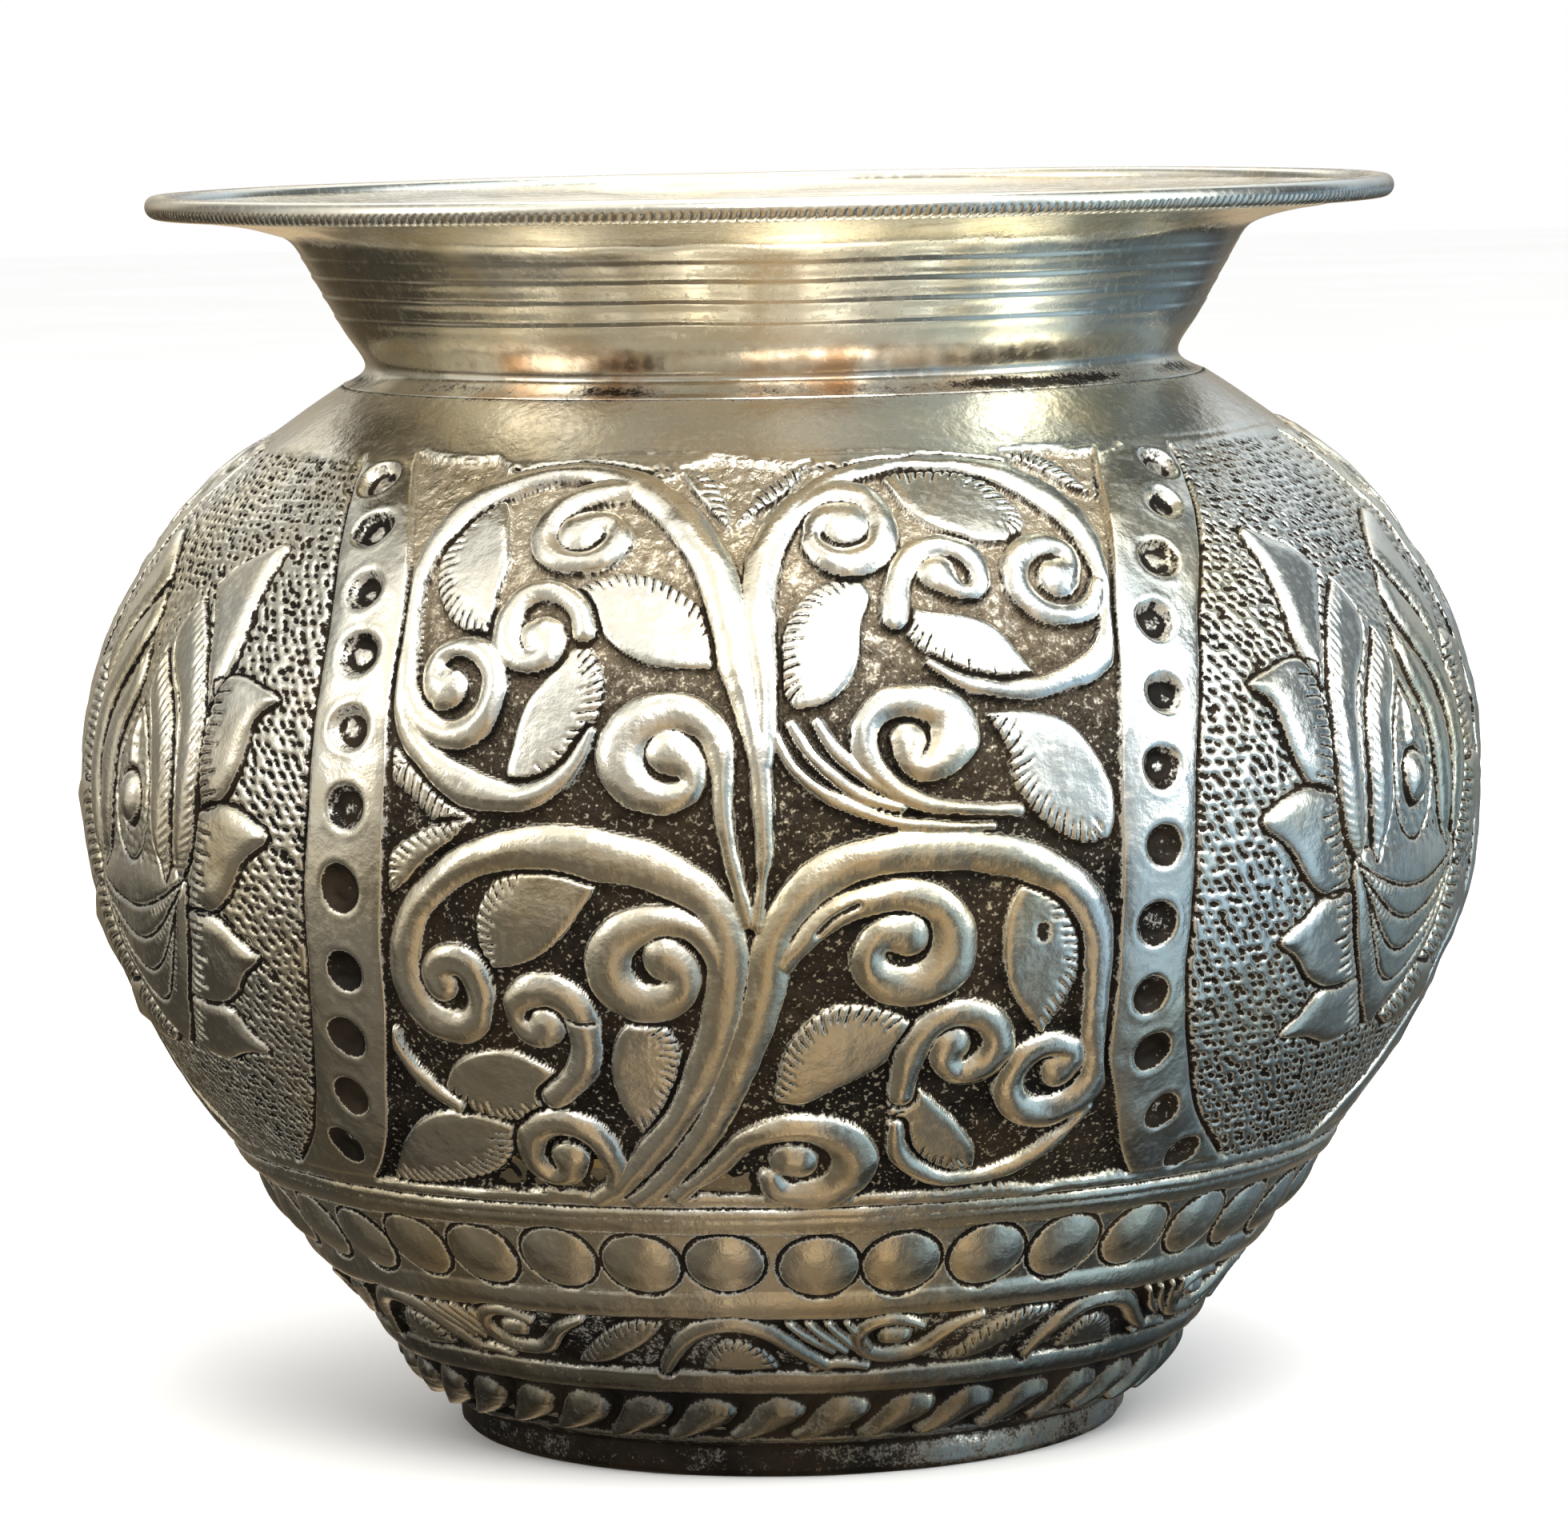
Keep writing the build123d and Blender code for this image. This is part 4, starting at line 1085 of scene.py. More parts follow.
class Tree:
    """Small helper that builds the node tree of a material or a world."""

    def __init__(self, owner, output):
        owner.use_nodes = True
        self.tree = owner.node_tree
        self.tree.nodes.clear()
        self.output = self.new(output)
        self.patterns = {}

    def new(self, kind, **settings):
        node = self.tree.nodes.new(kind)
        for name, value in settings.items():
            setattr(node, name, value)
        return node

    def put(self, socket, value):
        """Link a socket, or set its value; a colour gets an alpha of 1."""
        if isinstance(value, bpy.types.NodeSocket):
            self.tree.links.new(value, socket)
        elif isinstance(value, tuple):
            socket.default_value = value + (1.0,)
        else:
            socket.default_value = value

    def fill(self, node, *values):
        for socket, value in zip(node.inputs, values):
            self.put(socket, value)
        return node.outputs

    def math(self, operation, *values, clamp=False):
        node = self.new("ShaderNodeMath", operation=operation, use_clamp=clamp)
        return self.fill(node, *values)[0]

    def plus(self, a, b, clamp=False):
        return self.math("ADD", a, b, clamp=clamp)

    def minus(self, a, b, clamp=False):
        return self.math("SUBTRACT", a, b, clamp=clamp)

    def times(self, a, b):
        return self.math("MULTIPLY", a, b)

    def mix(self, share, a, b, blend="MIX"):
        """Colour mix."""
        node = self.new("ShaderNodeMix", data_type="RGBA", blend_type=blend)
        for index, value in ((0, share), (6, a), (7, b)):
            self.put(node.inputs[index], value)
        return node.outputs[2]

    def tinted(self, colour, tint):
        return self.mix(1.0, colour, tint, "MULTIPLY")

    def blend(self, share, a, b):
        """Number mix."""
        node = self.new("ShaderNodeMix", data_type="FLOAT")
        for index, value in ((0, share), (2, a), (3, b)):
            self.put(node.inputs[index], value)
        return node.outputs[0]

    def step(self, value, over, to=(0.0, 1.0)):
        """Smooth step of value over a range, to another range."""
        node = self.new("ShaderNodeMapRange", interpolation_type="SMOOTHSTEP")
        return self.fill(node, value, *over, *to)[0]

    def ramp(self, value, stops):
        """Eased colour ramp; stops are (position, colour)."""
        node = self.new("ShaderNodeValToRGB")
        node.color_ramp.interpolation = "EASE"
        elements = node.color_ramp.elements
        while len(elements) < len(stops):
            elements.new(0.5)
        for element, (position, colour) in zip(elements, stops):
            element.position, element.color = position, (*colour, 1.0)
        return self.fill(node, value)[0]

    def split(self, vector):
        return self.fill(self.new("ShaderNodeSeparateXYZ"), vector)

    def noise(self, vector, scale, detail, roughness, distortion=0.0):
        node = self.new("ShaderNodeTexNoise")
        self.put(node.inputs["Vector"], vector)
        node.inputs["Scale"].default_value = scale
        node.inputs["Detail"].default_value = detail
        node.inputs["Roughness"].default_value = roughness
        node.inputs["Distortion"].default_value = distortion
        return node.outputs["Fac"]

    def pattern(self, name):
        """A noise from the table of patterns, made once per tree."""
        if name not in self.patterns:
            self.patterns[name] = self.noise(self.place, *PATTERNS[name])
        return self.patterns[name]

    def scaled(self, vector, scale, rotation=(0, 0, 0)):
        node = self.new("ShaderNodeMapping")
        self.put(node.inputs["Vector"], vector)
        node.inputs["Scale"].default_value = scale
        node.inputs["Rotation"].default_value = rotation
        return node.outputs[0]

    def bump(self, height, strength, distance, normal=None):
        node = self.new("ShaderNodeBump")
        node.inputs["Strength"].default_value = strength
        node.inputs["Distance"].default_value = distance
        self.put(node.inputs["Height"], height)
        if normal is not None:
            self.put(node.inputs["Normal"], normal)
        return node.outputs[0]

    def shade(self, inputs):
        for name, value in inputs.items():
            self.put(self.shader.inputs[name], value)


def surface(name):
    """A new material with a principled shader, and its tree."""
    material = bpy.data.materials.new(name)
    tree = Tree(material, "ShaderNodeOutputMaterial")
    tree.shader = tree.new("ShaderNodeBsdfPrincipled")
    tree.put(tree.output.inputs[0], tree.shader.outputs[0])
    tree.place = tree.new("ShaderNodeTexCoord").outputs["Object"]
    return material, tree


# ==== materials ========================================================================

# Noises in object space: scale, detail, roughness, distortion
PATTERNS = {
    "broad": (26, 3, 0.6), "cloud": (95, 4, 0.6), "fine": (900, 3, 0.6), "speck": (3400, 2, 0.6),
    "tarnish": (48, 3, 0.55, 0.4), "film": (60, 3, 0.5, 0.8), "glint": (2300, 1, 0.5),
    "dings": (420, 4, 0.62),
    "braze cloud": (160, 5, 0.65, 0.3), "braze grain": (1200, 4, 0.6),
    "braze flux": (300, 3, 0.5), "braze lumps": (700, 4, 0.6),
    "paper tone": (6, 3, 0.5), "paper grain": (900, 3, 0.6),
}
SILVER, WARM, GOLD = (0.87, 0.835, 0.745), (0.84, 0.735, 0.515), (0.80, 0.60, 0.30)
THROAT_STAIN, DULL_FILM = (0.45, 0.23, 0.08), (0.36, 0.31, 0.22)
# tints that multiply the metal; the inside and low tints are painted shade as well as tarnish
INSIDE_SHADE_AND_TARNISH_TINT, LOW_SHADE_AND_TARNISH_TINT, GROUND_TINT = (0.42, 0.40, 0.36), (0.11, 0.11, 0.115), (0.66, 0.56, 0.40)
DARK, BROWN = (0.006, 0.0045, 0.003), (0.025, 0.016, 0.008)
# painted light: the paler dirt colours high on the belly, as if lit from above
PAINTED_LIGHT_HIGH_DARK, PAINTED_LIGHT_HIGH_PALE = (0.050, 0.034, 0.018), (0.27, 0.200, 0.115)


def bare_metal(tree, xyz, ground, inside, film, warmth, tarnish, throat_stain):
    """Colour of the plating where no patina lies."""
    x, y, z = xyz
    cloud = tree.pattern("cloud")
    warm = tree.plus(tree.step(tree.pattern("broad"), over=(0.40, 0.66)),
                     tree.times(tree.step(cloud, over=(0.5, 0.72)), 0.45), clamp=True)
    warm = tree.math("MAXIMUM", tree.times(warm, warmth), tree.times(inside, 0.45))
    metal = tree.mix(warm, SILVER, WARM)
    gold = tree.times(tree.step(tree.pattern("tarnish"), over=(0.50, 0.76)), tarnish)
    metal = tree.mix(gold, metal, GOLD)
    if throat_stain:
        # a brown stain low on the front of the neck
        stain = tree.times(tree.step(z, over=(0.1005, 0.1065)),
                           tree.step(z, over=(0.1125, 0.1075)))
        front = tree.times(tree.step(y, over=(-0.022, -0.036)), tree.step(x, over=(0.030, 0.008)))
        patchy = tree.times(front, tree.step(cloud, over=(0.40, 0.62)))
        metal = tree.mix(tree.times(tree.times(stain, patchy), 0.75), metal, THROAT_STAIN)
    metal = tree.mix(film, metal, DULL_FILM)
    # painted shade and tarnish: the metal inside the pot is darker
    metal = tree.mix(tree.times(inside, 0.62), metal, tree.tinted(metal, INSIDE_SHADE_AND_TARNISH_TINT))
    # painted shade and tarnish: the lower bowl and the foot are darkened, but not inside the pot
    low = tree.times(tree.step(z, over=(0.0235, 0.0075)), tree.minus(1.0, inside, clamp=True))
    low = tree.times(low, tree.step(cloud, over=(0.15, 0.75), to=(1.0, 0.72)))
    metal = tree.mix(tree.times(low, 0.90), metal, tree.tinted(metal, LOW_SHADE_AND_TARNISH_TINT))
    return tree.mix(tree.times(ground, 0.55), metal, tree.tinted(metal, GROUND_TINT))


def broken_patina(tree, patina, ground):
    """Patina and painted shade broken up by grain, so that bright metal sparkles through in the
    ground.
    """
    grain = tree.times(tree.minus(tree.pattern("speck"), 0.5), 0.9)
    fine = tree.times(tree.minus(tree.pattern("fine"), 0.5), tree.blend(ground, 0.8, 0.35))
    share = tree.step(tree.plus(tree.plus(patina, grain), fine), over=(0.28, 0.74))
    glint = tree.times(tree.step(tree.pattern("glint"), over=(0.60, 0.72)), ground)
    return tree.minus(share, tree.times(glint, 0.38), clamp=True)


def rubbed_hair(tree):
    """Fine rubbing marks in two directions."""
    hair_a = tree.noise(tree.scaled(tree.place, scale=(1.0, 1.0, 0.06), rotation=(0.7, 0.3, 0.9)),
                        scale=1500, detail=2, roughness=0.5)
    hair_b = tree.noise(tree.scaled(tree.place, scale=(0.08, 1.0, 1.0), rotation=(0.2, 0.9, 0.4)),
                        scale=1900, detail=2, roughness=0.5)
    return tree.times(tree.plus(hair_a, hair_b), 0.5)


def plated_roughness(tree, base, hair, film, inside, wear):
    """Rubbed and worn parts are smoother, films and the inside rougher."""
    rough = tree.plus(base, tree.times(tree.step(tree.pattern("cloud"), over=(0.35, 0.75)), 0.08))
    rough = tree.plus(rough, tree.times(tree.step(hair, over=(0.50, 0.62)), 0.10))
    rough = tree.plus(rough, tree.times(film, 0.5))
    rough = tree.plus(rough, tree.times(inside, 0.07))
    return tree.minus(rough, tree.times(wear, 0.04))


def plated_normal(tree, hair, ground, hair_bump, ding_bump):
    """Rubbing marks, small dings, and a chipped sparkle in the punched ground."""
    normal = tree.bump(hair, strength=hair_bump, distance=0.00005)
    normal = tree.bump(tree.pattern("dings"), strength=ding_bump, distance=0.00026,
                       normal=normal)
    chips = tree.new("ShaderNodeTexVoronoi", feature="F1")
    tree.put(chips.inputs["Vector"], tree.place)
    chips.inputs["Scale"].default_value = 1700
    matting = tree.plus(tree.times(chips.outputs["Distance"], 0.7), tree.pattern("speck"))
    return tree.bump(tree.times(matting, ground), strength=0.85, distance=0.00016,
                     normal=normal)


def plated(name, roughness, hair_bump, ding_bump, **look):
    material, tree = surface(name)
    relief = tree.new("ShaderNodeAttribute", attribute_name="relief").outputs
    patina, ground, inside = tree.fill(tree.new("ShaderNodeSeparateColor"), relief["Color"])
    xyz = tree.split(tree.place)
    # dull film: stains that follow no form, heavier inside the pot
    film = tree.step(tree.pattern("film"), over=(0.42, 0.78))
    film = tree.plus(tree.times(film, 0.20), tree.times(inside, 0.16), clamp=True)
    metal = bare_metal(tree, xyz, ground, inside, film, **look)
    share = broken_patina(tree, patina, ground)
    # painted light: high on the belly the dirt in the ground is painted paler, as if lit from
    # above, and it is glossier
    high = tree.times(tree.step(xyz[2], over=(0.066, 0.104)), ground)
    dirt_and_painted_light = tree.mix(tree.step(tree.pattern("cloud"), over=(0.35, 0.7)), DARK, BROWN)
    painted_light_dirt = tree.mix(tree.step(tree.pattern("speck"), over=(0.35, 0.65)), PAINTED_LIGHT_HIGH_DARK, PAINTED_LIGHT_HIGH_PALE)
    dirt_and_painted_light = tree.mix(high, dirt_and_painted_light, painted_light_dirt)
    hair = rubbed_hair(tree)
    rough = plated_roughness(tree, roughness, hair, film, inside, relief["Alpha"])
    tree.shade({
        "Base Color": tree.mix(share, metal, dirt_and_painted_light),
        "Metallic": tree.minus(1.0, tree.times(share, 0.7)),
        "Specular IOR Level": tree.blend(share, 0.5, tree.blend(high, 0.16, 0.5)),
        "Roughness": tree.blend(share, rough, tree.blend(high, 0.60, 0.42)),
        "Normal": plated_normal(tree, hair, ground, hair_bump, ding_bump),
    })
    return material


def braze(name):
    material, tree = surface(name)
    grain = tree.pattern("braze grain")
    colour = tree.mix(tree.step(tree.pattern("braze cloud"), over=(0.35, 0.65)),
                      (0.62, 0.46, 0.22), (0.44, 0.33, 0.19))
    colour = tree.mix(tree.times(tree.step(grain, over=(0.52, 0.7)), 0.6), colour,
                      (0.09, 0.06, 0.035))
    colour = tree.mix(tree.times(tree.step(tree.pattern("braze flux"), over=(0.6, 0.72)), 0.5),
                      colour, (0.50, 0.52, 0.44))
    tree.shade({
        "Base Color": colour,
        "Metallic": 0.9,
        "Roughness": tree.step(grain, over=(0.3, 0.75), to=(0.36, 0.66)),
        "Normal": tree.bump(tree.pattern("braze lumps"), strength=0.5, distance=0.00025),
    })
    return material


CHASED, POLISHED, BRAZE = "plated_brass_chased", "plated_brass_polished", "brass_braze"
MATERIALS = {
    CHASED: plated(CHASED, warmth=0.70, tarnish=0.35, throat_stain=False,
                   roughness=0.215, hair_bump=0.06, ding_bump=0.58),
    POLISHED: plated(POLISHED, warmth=0.55, tarnish=0.55, throat_stain=True,
                     roughness=0.17, hair_bump=0.07, ding_bump=0.12),
    BRAZE: braze(BRAZE),
}


# ==== pieces ===========================================================================

def place(thing, node, slot):
    thing.data.materials.append(MATERIALS[slot])
    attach(thing, "root")
    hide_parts(node)


def lowest_near(height, rows, columns):
    """Minimum over a neighbourhood of rows x columns cells."""
    low = height.copy()
    for d in range(1, rows + 1):
        low[d:] = np.minimum(low[d:], height[:-d])
        low[:-d] = np.minimum(low[:-d], height[d:])
    side = low.copy()
    for d in range(1, columns + 1):
        side = np.minimum(side, np.roll(low, d, 1))
        side = np.minimum(side, np.roll(low, -d, 1))
    return side


def outer_face(sheet, ends, joint):
    """Rings of the chased face. Ends is 0 at the joints, where it dips; joint soils it."""
    ends = ends[:, None]
    face = Rings(*on_wall(sheet.levels, sheet.height * ends - 0.14 * (1 - ends)))
    soil = np.clip(0.8 * joint[:, None], 0, 1)
    face.paint[..., PATINA_AND_SHADE] = np.maximum(sheet.patina, soil)
    face.paint[..., GROUND_MASK] = sheet.ground
    face.paint[..., WEAR] = sheet.wear
    return face


def inner_heights(sheet, gain, grain, fade):
    """Sheet rows and heights of the inside, where the chased work shows softened."""
    ghost = blur(sheet.height, grain, sheet)
    low = lowest_near(sheet.height, INNER_SKIP, 3)
    inner = blur(np.minimum(-0.97 + gain * ghost, low - 0.34), 0.35, sheet)
    inner = -METAL + (inner + METAL) * fade[:, None]
    rows = np.unique(np.append(np.arange(0, sheet.rows, INNER_SKIP), sheet.rows - 1))
    return rows, inner[rows]


def inner_face(sheet, rows, inner, soil, deep, seed):
    """Rings of the inside, from the top down; soil gathers where it lies deep."""
    rows, inner = rows[::-1], inner[::-1]
    face = Rings(*on_wall(sheet.levels[rows], inner), inside=1)
    off_mean = inner - inner.mean(1, keepdims=True)
    patina = soil + 0.22 * smooth(0.0, deep, off_mean) + 0.07 * sheet.noise(seed, 3.0)[rows]
    face.paint[..., PATINA_AND_SHADE] = np.clip(patina, 0, 0.6)
    return face


def make_belly(sheet):
    levels = sheet.levels
    outer = outer_face(
        sheet,
        ends=smooth(SEAM, SEAM + 0.35, levels) * smooth(TOP, TOP - 0.35, levels),
        joint=np.exp((levels - TOP) / 0.7) + np.exp((SEAM - levels) / 0.25))
    fade = smooth(SEAM + 4.0, SEAM + 6.5, levels) * smooth(TOP - 4.0, TOP - 7.0, levels)
    rows, inner = inner_heights(sheet, gain=0.8, grain=0.9, fade=fade)
    inside = inner_face(sheet, rows, inner, soil=0.11, deep=-0.35, seed=81)
    place(loft("chased_belly", [outer, inside], weights=[1.0, 0.55]), "belly_shell", CHASED)


def floor_blocks(r, z, seed, lumps, patina, inside):
    """Rings of a floor in the order of its path, with fewer columns as they get smaller."""
    blocks = []
    for low, high, columns in ((22.0, 99.0, COLUMNS), (7.0, 22.0, COLUMNS // 4),
                               (0.0, 7.0, COLUMNS // 24)):
        chosen = (r >= low) & (r < high)
        block = Rings(r[chosen], z[chosen], columns, inside=inside)
        x, y, _ = block.xyz()
        flat = (x, y, 0 * x)
        turning = np.sin(block.radius * 2 * math.pi / 1.7 + 0.8 * waves(seed + 2, 9, flat))
        rise = lumps * waves(seed, 7, flat) + lumps * 0.5 * waves(seed + 1, 3.0, flat) \
            + 0.03 * turning * smooth(1, 4, block.radius)
        block.height = block.height + rise * smooth(34, 29, block.radius)
        soil = patina + 0.08 * waves(seed + 3, 8, flat) + 0.25 * smooth(26, 33, block.radius)
        block.paint[..., PATINA_AND_SHADE] = np.clip(soil, 0, 0.7)
        blocks.append(block)
    return blocks if r[0] > r[-1] else blocks[::-1]


def make_bowl(sheet):
    """The bowl from the middle of its underside, up the outside, round the lip that reaches
    up inside the belly, and down the inside to the middle of the floor."""
    levels = sheet.levels
    r, z = path_rows(points("33.9,3.4 30.5,3.4 28.0,3.44 21,3.82 14,4.33 7,4.6 0.6,4.7"),
                     step=0.5, soften=2.0)
    under = floor_blocks(r[::-1], z[::-1], seed=5, lumps=0.07, patina=0.22, inside=0.6)
    outer = outer_face(sheet, ends=smooth(SEAM, SEAM - 0.35, levels),
                       joint=np.exp((levels - SEAM) / 0.25))
    lip = np.linspace(SEAM, SEAM + LAP, 9)
    lip_line = wall_line(lip, LAP_FACES[0]) + wall_line(lip[::-1], LAP_FACES[1])
    lip_rings = Rings(*zip(*lip_line), COLUMNS, patina=0.35, inside=1)

    rows, inner = inner_heights(sheet, gain=0.6, grain=1.2,
                                fade=smooth(FOOT + 2, FOOT + 5, levels))
    inner = inner - 0.83 * smooth(SEAM - 3.2, SEAM - 0.4, levels[rows])[:, None]
    keep = (levels[rows] > FOOT + 3.6) & (levels[rows] < SEAM - 0.3)
    inside = inner_face(sheet, rows[keep], inner[keep], soil=0.13, deep=-0.3, seed=82)
    end_r, end_z = inside.radius[-1].mean(), inside.height[-1].mean()
    r, z = path_rows([(end_r, end_z), (end_r - 0.9, end_z - 1.3), (end_r - 2.2, 4.75),
                      (end_r - 4.2, 4.4), (28, 4.42), (21, 4.85), (14, 5.33), (7, 5.6),
                      (0.6, 5.7)], step=0.5, soften=1.6)
    floor = floor_blocks(r[1:], z[1:], seed=15, lumps=0.06, patina=0.20, inside=1)
    bowl = loft("chased_base_bowl", under + [outer, lip_rings, inside] + floor,
                weights=[0.4] * 3 + [1.0, 0.5, 0.5] + [0.5] * 3, poles=(4.7, 5.7))
    place(bowl, "base_bowl", CHASED)


# Turned steps round the neck, as (z, height)
NECK_STEPS = ((112.1, 0.085), (114.2, 0.10), (116.15, 0.09), (118.0, 0.06))


def neck_outside(r, z, along):
    face = Rings(r, z, SPUN_COLUMNS)
    place = x, y, height = face.xyz()
    steps = np.zeros_like(z)
    for level, rise in NECK_STEPS:
        steps += rise * smooth(-0.9, 0.0, z - level) * smooth(0.26, 0.0, z - level) \
            - 0.3 * rise * ridge(z - level, 0.36, 0.13)
    lumpy = smooth(116.5, 119.5, z) * smooth(122.2, 121.2, z)
    fade = smooth(0, 1.5, along) * smooth(along[-1], along[-1] - 1.0, along)
    face.push(steps[:, None] * (0.75 + 0.25 * waves(101, 14, place))
              + (0.075 * waves(102, 8, place) + 0.03 * waves(103, 3.2, place)) * fade[:, None]
              + 0.03 * waves(104, 2.6, (x, y, height * 1.5)) * (lumpy * fade)[:, None])
    soil = 0.55 * ridge(z, 105.9, 0.8) + 0.32 * ridge(z, 119.9, 0.7)
    patina = soil[:, None] * (0.8 + 0.3 * waves(105, 5, place)) \
        + np.clip(-steps, 0, 1)[:, None] + 0.12 * smooth(1.2, 2.4, waves(106, 4, place))
    face.paint[..., PATINA_AND_SHADE] = np.clip(patina, 0, 0.8)
    face.paint[..., WEAR] = np.clip(steps, 0, 0.1)[:, None] * 6
    return face


def neck_inside(r, z, step=0.3):
    """From the brim down the inside, then round the lip that reaches down inside the belly."""
    normal_r, normal_z = outward(r, z)
    line = [(r, z) for r, z in zip(r - METAL * normal_r, z - METAL * normal_z) if z > 104.9]
    lip = np.linspace(TOP, TOP - LAP, 9)
    line = line[::-1] + wall_line(lip, LAP_FACES[1]) + wall_line(lip, LAP_FACES[0])[::-1]
    r, z = path_rows(line, step=step, soften=0.45)
    face = Rings(r, z, SPUN_COLUMNS)
    place = face.xyz()
    index, last = np.arange(len(r)), len(r) - 1
    spun = 0.009 * np.sin(index * step * 2 * math.pi / 1.25)
    ends = smooth(0, 6, index) * smooth(last, last - 11, index)
    face.push((0.06 * waves(112, 9, place) + 0.03 * waves(113, 3.0, place) + spun[:, None])
              * ends[:, None])
    # painted shade and tarnish: deeper inside the neck the metal is darker
    deep = smooth(119.5, 116.0, z)[:, None]
    face.paint[..., INSIDE] = 0.75 * deep
    face.paint[..., PATINA_AND_SHADE] = np.clip(0.03 + 0.14 * deep + 0.08 * waves(114, 6, place), 0, 0.6)
    return face


def make_neck():
    r, z, along = fine_curve(NECK, 0.12)
    neck = loft("spun_neck", [neck_outside(r, z, along), neck_inside(r, z)], weights=[1.0, 0.8])
    place(neck, "neck_collar", POLISHED)


def make_rim_bead(count=432, centre_r=61.0, centre_z=123.34, bead=1.22):
    """The rim bead, milled like a fine rope on its outer lower half."""
    columns = count * 8
    turn = np.radians(np.arange(0, 360, 6.0))[:, None]
    theta = np.radians(-180 + np.arange(columns) * 360.0 / columns)[None, :]
    degrees = (np.degrees(turn) + 180) % 360 - 180
    band = smooth(-112, -92, degrees) * smooth(6, -10, degrees)
    rope = (0.5 + 0.5 * np.cos(count * theta - degrees / 26.0)) ** 2.2
    rng = np.random.default_rng(77)
    worn = np.interp(np.degrees(theta[0]), np.linspace(-180, 180, 61),
                     np.append(rng.uniform(-1, 1, 60), 0))
    cut = band * (0.72 + 0.28 * np.clip(worn, -1, 1)) * 0.125 * rope
    wobble = 0.05 * np.sin(3 * theta + 0.7) + 0.035 * np.sin(5 * theta + 2.0) \
        + 0.02 * np.sin(11 * theta)
    flat = 0.10 * smooth(40, 90, degrees) * smooth(140, 100, degrees)
    radius = bead - 0.02 - cut - flat
    rings = Rings(centre_r + radius * np.cos(turn),
                  centre_z + radius * np.sin(turn) + wobble * 0.5 - 0.02)
    patina = band * rope * 0.5 + 0.5 * ridge(degrees, -118, 16)
    rings.paint[..., PATINA_AND_SHADE] = np.clip(patina, 0, 0.9)
    place(loft("rim_bead_milled", [rings]), "rim_bead", POLISHED)


def make_foot_ring(top=3.38):
    r, z = path_rows([(32.4, 0.0), (32.8, 0.0), (33.55, 0.7), (33.7, 1.9), (33.55, top),
                      (31.25, top), (31.2, 0.5), (31.7, 0.0), (32.4, 0.0)],
                     step=0.16, soften=0.3)
    ring = Rings(r[:-1], z[:-1], SPUN_COLUMNS)
    spot = x, y, _ = ring.xyz()
    share = smooth(0.0, 0.5, ring.height) * smooth(top, 2.9, ring.height)
    ring.push((0.05 * waves(121, 5, spot) + 0.035 * waves(122, 1.8, spot)) * share)
    ring.radius = np.minimum(ring.radius, 33.9)
    # painted shade and tarnish: the foot is dark all round, lighter on the right, and darker at its
    # top and bottom edges, under the bowl and on the floor
    patina = 0.80 - 0.34 * smooth(0.2, 0.9, x / 33.0 - 0.3 * y / 33.0) \
        + 0.08 * waves(123, 3.5, spot) \
        + 0.3 * smooth(2.7, 3.3, ring.height) + 0.3 * smooth(0.9, 0.0, ring.height)
    ring.paint[..., PATINA_AND_SHADE] = np.clip(patina, 0, 0.92)
    place(loft("plain_foot_ring", [ring]), "foot_ring", CHASED)


def make_run(name, node, section, seed, lumps):
    """A lumpy run of braze or solder with a closed section of (r, z) points."""
    r, z = path_rows(section + section[:1], step=0.14, soften=0.22)
    rings = Rings(r[:-1], z[:-1], RUN_COLUMNS, patina=0.2)
    rings.push(lumps * waves(seed, 2.2, rings.xyz()) - 0.05)
    place(loft(name, [rings]), node, BRAZE)


def wall_section(corners):
    """Section points from (level, height) corners."""
    return [wall_line(level, height)[0] for level, height in corners]


def make_runs():
    seam, throat = SEAM + LAP, TOP - LAP
    make_run("seam_braze_run", "seam_braze", wall_section(
        [(seam, -1.02), (SEAM + 5.6, -1.0), (SEAM + 4.2, -1.75), (seam, LAP_FACES[1])]),
        seed=131, lumps=0.07)
    make_run("throat_braze_run", "throat_braze", wall_section(
        [(throat, -1.02), (throat, LAP_FACES[1]), (TOP - 4.1, -1.75), (TOP - 5.4, -1.0)]),
        seed=132, lumps=0.07)
    make_run("foot_solder_run", "foot_solder",
             [(31.2, 3.4), (29.8, 3.42), (30.75, 2.95), (31.2, 2.0)], seed=133, lumps=0.06)


# ==== studio, in metres ================================================================

def make_floor(segments=128, rings=40, inner=0.05, outer=4.0):
    """A flat disc whose rings widen outwards."""
    radii = np.geomspace(inner, outer, rings)[:, None]
    angle = np.arange(segments) * 2 * math.pi / segments
    x = np.concatenate([[0.0], (radii * np.cos(angle)).reshape(-1)])
    y = np.concatenate([[0.0], (radii * np.sin(angle)).reshape(-1)])
    faces = [(0, 1 + j, 1 + (j + 1) % segments) for j in range(segments)]
    for i in range(rings - 1):
        a, b = 1 + i * segments, 1 + (i + 1) * segments
        faces += [(a + j, b + j, b + (j + 1) % segments, a + (j + 1) % segments)
                  for j in range(segments)]
    mesh = bpy.data.meshes.new("studio_floor")
    mesh.from_pydata(list(zip(x, y, 0 * x)), [], faces)
    mesh.update()
    floor = bpy.data.objects.new("studio_floor", mesh)
    bpy.context.scene.collection.objects.link(floor)
    mesh.materials.append(paper("studio_paper"))
    floor.visible_glossy = False


def paper(name):
    material, tree = surface(name)
    tone = tree.step(tree.pattern("paper tone"), over=(0.3, 0.7))
    tree.shade({
        "Base Color": tree.mix(tone, (0.93, 0.925, 0.915), (0.95, 0.947, 0.94)),
        "Roughness": 0.8,
        "Specular IOR Level": 0.15,
        "Normal": tree.bump(tree.pattern("paper grain"), strength=0.05, distance=0.0002),
    })
    return material


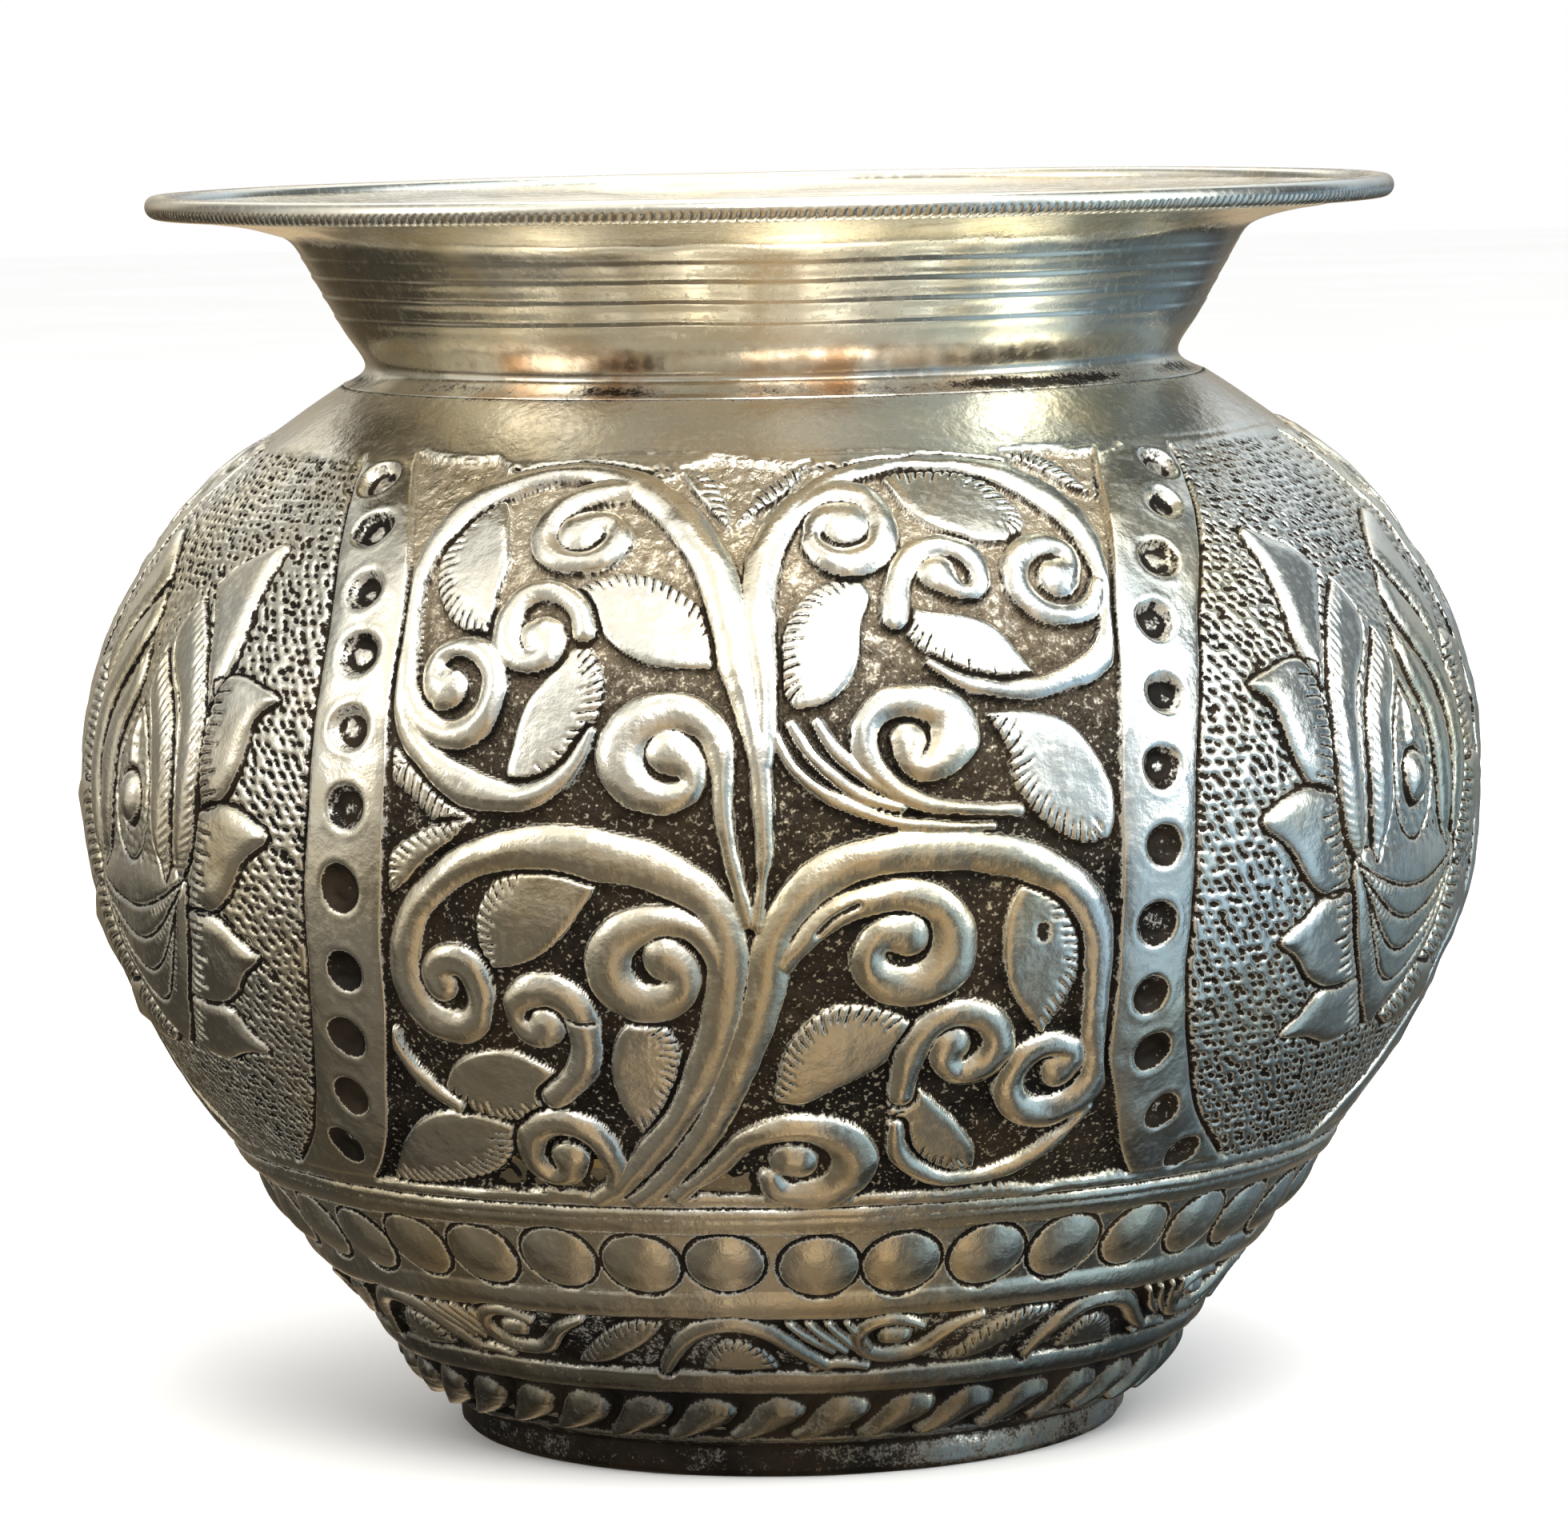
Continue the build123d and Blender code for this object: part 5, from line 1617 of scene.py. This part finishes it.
# Brightness of the room from straight down (0) to straight up (1)
ROOM_BRIGHTNESS = ((0.0, 0.27), (0.05, 0.37), (0.12, 0.51), (0.20, 0.58), (0.32, 0.58),
                   (0.45, 0.60), (0.58, 0.54), (0.70, 0.66), (0.85, 1.05), (1.0, 1.30))
# Tints at the left, the middle and the right of the room
LOW_ROOM_TINTS = ((1.06, 0.98, 0.82), (1.27, 0.98, 0.64), (0.68, 0.94, 1.18))
HIGH_ROOM_TINTS = ((0.99, 1.0, 0.95), (0.99, 1.0, 1.0), (0.94, 1.12, 1.30))
# Black cards: angle from the front and half width in radians, strength, and whether low only
CARDS = ((1.95, 0.42, 0.80, False), (-2.15, 0.36, 0.62, False), (0.62, 0.10, 0.35, False),
         (-0.55, 0.16, 0.30, False), (2.65, 0.45, 0.65, True), (-2.65, 0.40, 0.50, True))
BLACK = (0.0, 0.0, 0.0)


def room_light(tree, x, y, z):
    """Overall light of the room: brightness by height, tint by side, and broad patches."""
    room = tree.ramp(tree.math("MULTIPLY_ADD", z, 0.5, 0.5),
                     [(at, (value,) * 3) for at, value in ROOM_BRIGHTNESS])
    side = tree.math("MULTIPLY_ADD", x, 0.5, 0.5, clamp=True)
    low, high = (tree.ramp(side, list(zip((0.12, 0.5, 0.88), tints)))
                 for tints in (LOW_ROOM_TINTS, HIGH_ROOM_TINTS))
    room = tree.tinted(room, tree.mix(tree.step(z, over=(-0.25, 0.35)), low, high))
    patches = tree.noise(tree.scaled(tree.place, scale=(1.0, 1.0, 0.45)),
                         scale=2.3, detail=2, roughness=0.5)
    return tree.tinted(room, tree.mix(tree.step(patches, over=(0.36, 0.62)),
                                      (0.66, 0.65, 0.63), (1.22, 1.22, 1.22)))


def make_world():
    world = bpy.data.worlds.new("studio")
    bpy.context.scene.world = world
    tree = Tree(world, "ShaderNodeOutputWorld")
    tree.place = tree.new("ShaderNodeTexCoord").outputs["Generated"]
    x, y, z = tree.split(tree.place)
    room = room_light(tree, x, y, z)
    # below the horizon the light falls off to both sides, most of all on the left
    near_x = tree.math("ABSOLUTE", tree.minus(x, 0.02))
    fall = tree.times(tree.step(near_x, over=(0.10, 0.42)), tree.step(z, over=(0.0, -0.35)))
    fall = tree.times(fall, tree.step(x, over=(0.40, 0.80), to=(0.72, 0.20)))
    room = tree.mix(fall, room, BLACK)
    # a low window far to the right
    band = tree.times(tree.step(z, over=(-0.75, -0.40)), tree.step(z, over=(0.20, -0.05)))
    glow = tree.times(tree.step(x, over=(0.45, 0.75)), band)
    glow = tree.times(glow, tree.step(y, over=(-0.55, -0.25)))
    room = tree.tinted(room, tree.mix(glow, (1.0, 1.0, 1.0), (1.75, 1.85, 1.95)))
    # black cards give the metal its dark edges
    turned_by = tree.math("ARCTAN2", x, tree.times(y, -1.0))
    for centre, half, strength, low_only in CARDS:
        off = tree.math("ABSOLUTE", tree.minus(turned_by, centre))
        card = tree.times(tree.step(off, over=(half, half * 0.55)), strength)
        if low_only:
            card = tree.times(card, tree.step(z, over=(0.20, -0.05)))
        room = tree.mix(card, room, BLACK)
    # the room shows only in reflections: diffuse light is even and the camera sees white
    camera_ray = tree.new("ShaderNodeLightPath").outputs["Is Camera Ray"]
    diffuse_ray = tree.new("ShaderNodeLightPath").outputs["Is Diffuse Ray"]
    seen = tree.mix(diffuse_ray, room, (1.07, 1.07, 1.06))
    seen = tree.mix(camera_ray, seen, (1.0, 1.0, 1.0))
    background = tree.new("ShaderNodeBackground")
    tree.put(background.inputs[0], seen)
    tree.put(tree.output.inputs[0], background.outputs[0])


# Area lights: name, place, height of the point on the axis they face, size, watts, colour
LIGHTS = (
    ("key", (0.20, -0.95, 0.95), 0.06, (0.70, 0.50), 15.0, (1.0, 0.985, 0.95)),
    ("window", (0.95, -0.35, 0.42), 0.07, (0.30, 0.60), 4.2, (0.86, 0.94, 1.0)),
    ("fill", (-1.05, -0.45, 0.62), 0.06, (0.5, 0.7), 2.6, (1.0, 0.96, 0.90)),
    ("back", (-0.2, 1.15, 0.8), 0.06, (0.9, 0.5), 0.8, (1.0, 0.98, 0.95)),
    ("top", (0.0, 0.1, 1.2), 0.1, (0.7, 0.7), 4.0, (1.0, 0.99, 0.97)),
)


def make_lights():
    for name, spot, target_z, size, watts, colour in LIGHTS:
        light = bpy.data.lights.new(name, "AREA")
        light.shape = "RECTANGLE"
        light.size, light.size_y = size
        light.energy = watts
        light.color = colour
        lamp = bpy.data.objects.new(name, light)
        bpy.context.scene.collection.objects.link(lamp)
        aim = Vector((0, 0, target_z)) - Vector(spot)
        lamp.rotation_euler = aim.to_track_quat("-Z", "Y").to_euler()
        lamp.location = spot


def make_camera(tilt=83.93, roll=-1.1):
    """A long lens in front of the pot, looking slightly down."""
    lens = bpy.data.cameras.new("photo_camera")
    lens.lens, lens.sensor_width, lens.sensor_fit = 156.12, 36.0, "HORIZONTAL"
    lens.shift_x = 0.0025
    lens.clip_start = 0.01
    camera = bpy.data.objects.new("photo_camera", lens)
    scene = bpy.context.scene
    scene.collection.objects.link(camera)
    camera.matrix_world = Matrix.Translation((0, -0.6816, 0.1388)) \
        @ Matrix.Rotation(math.radians(tilt), 4, "X") \
        @ Matrix.Rotation(math.radians(roll), 4, "Z")
    scene.camera = camera
    scene.view_settings.view_transform = "Standard"
    scene.view_settings.look = "None"


make_belly(chase_belly())
make_bowl(chase_bowl())
make_neck()
make_rim_bead()
make_foot_ring()
make_runs()
make_floor()
make_world()
make_lights()
make_camera()
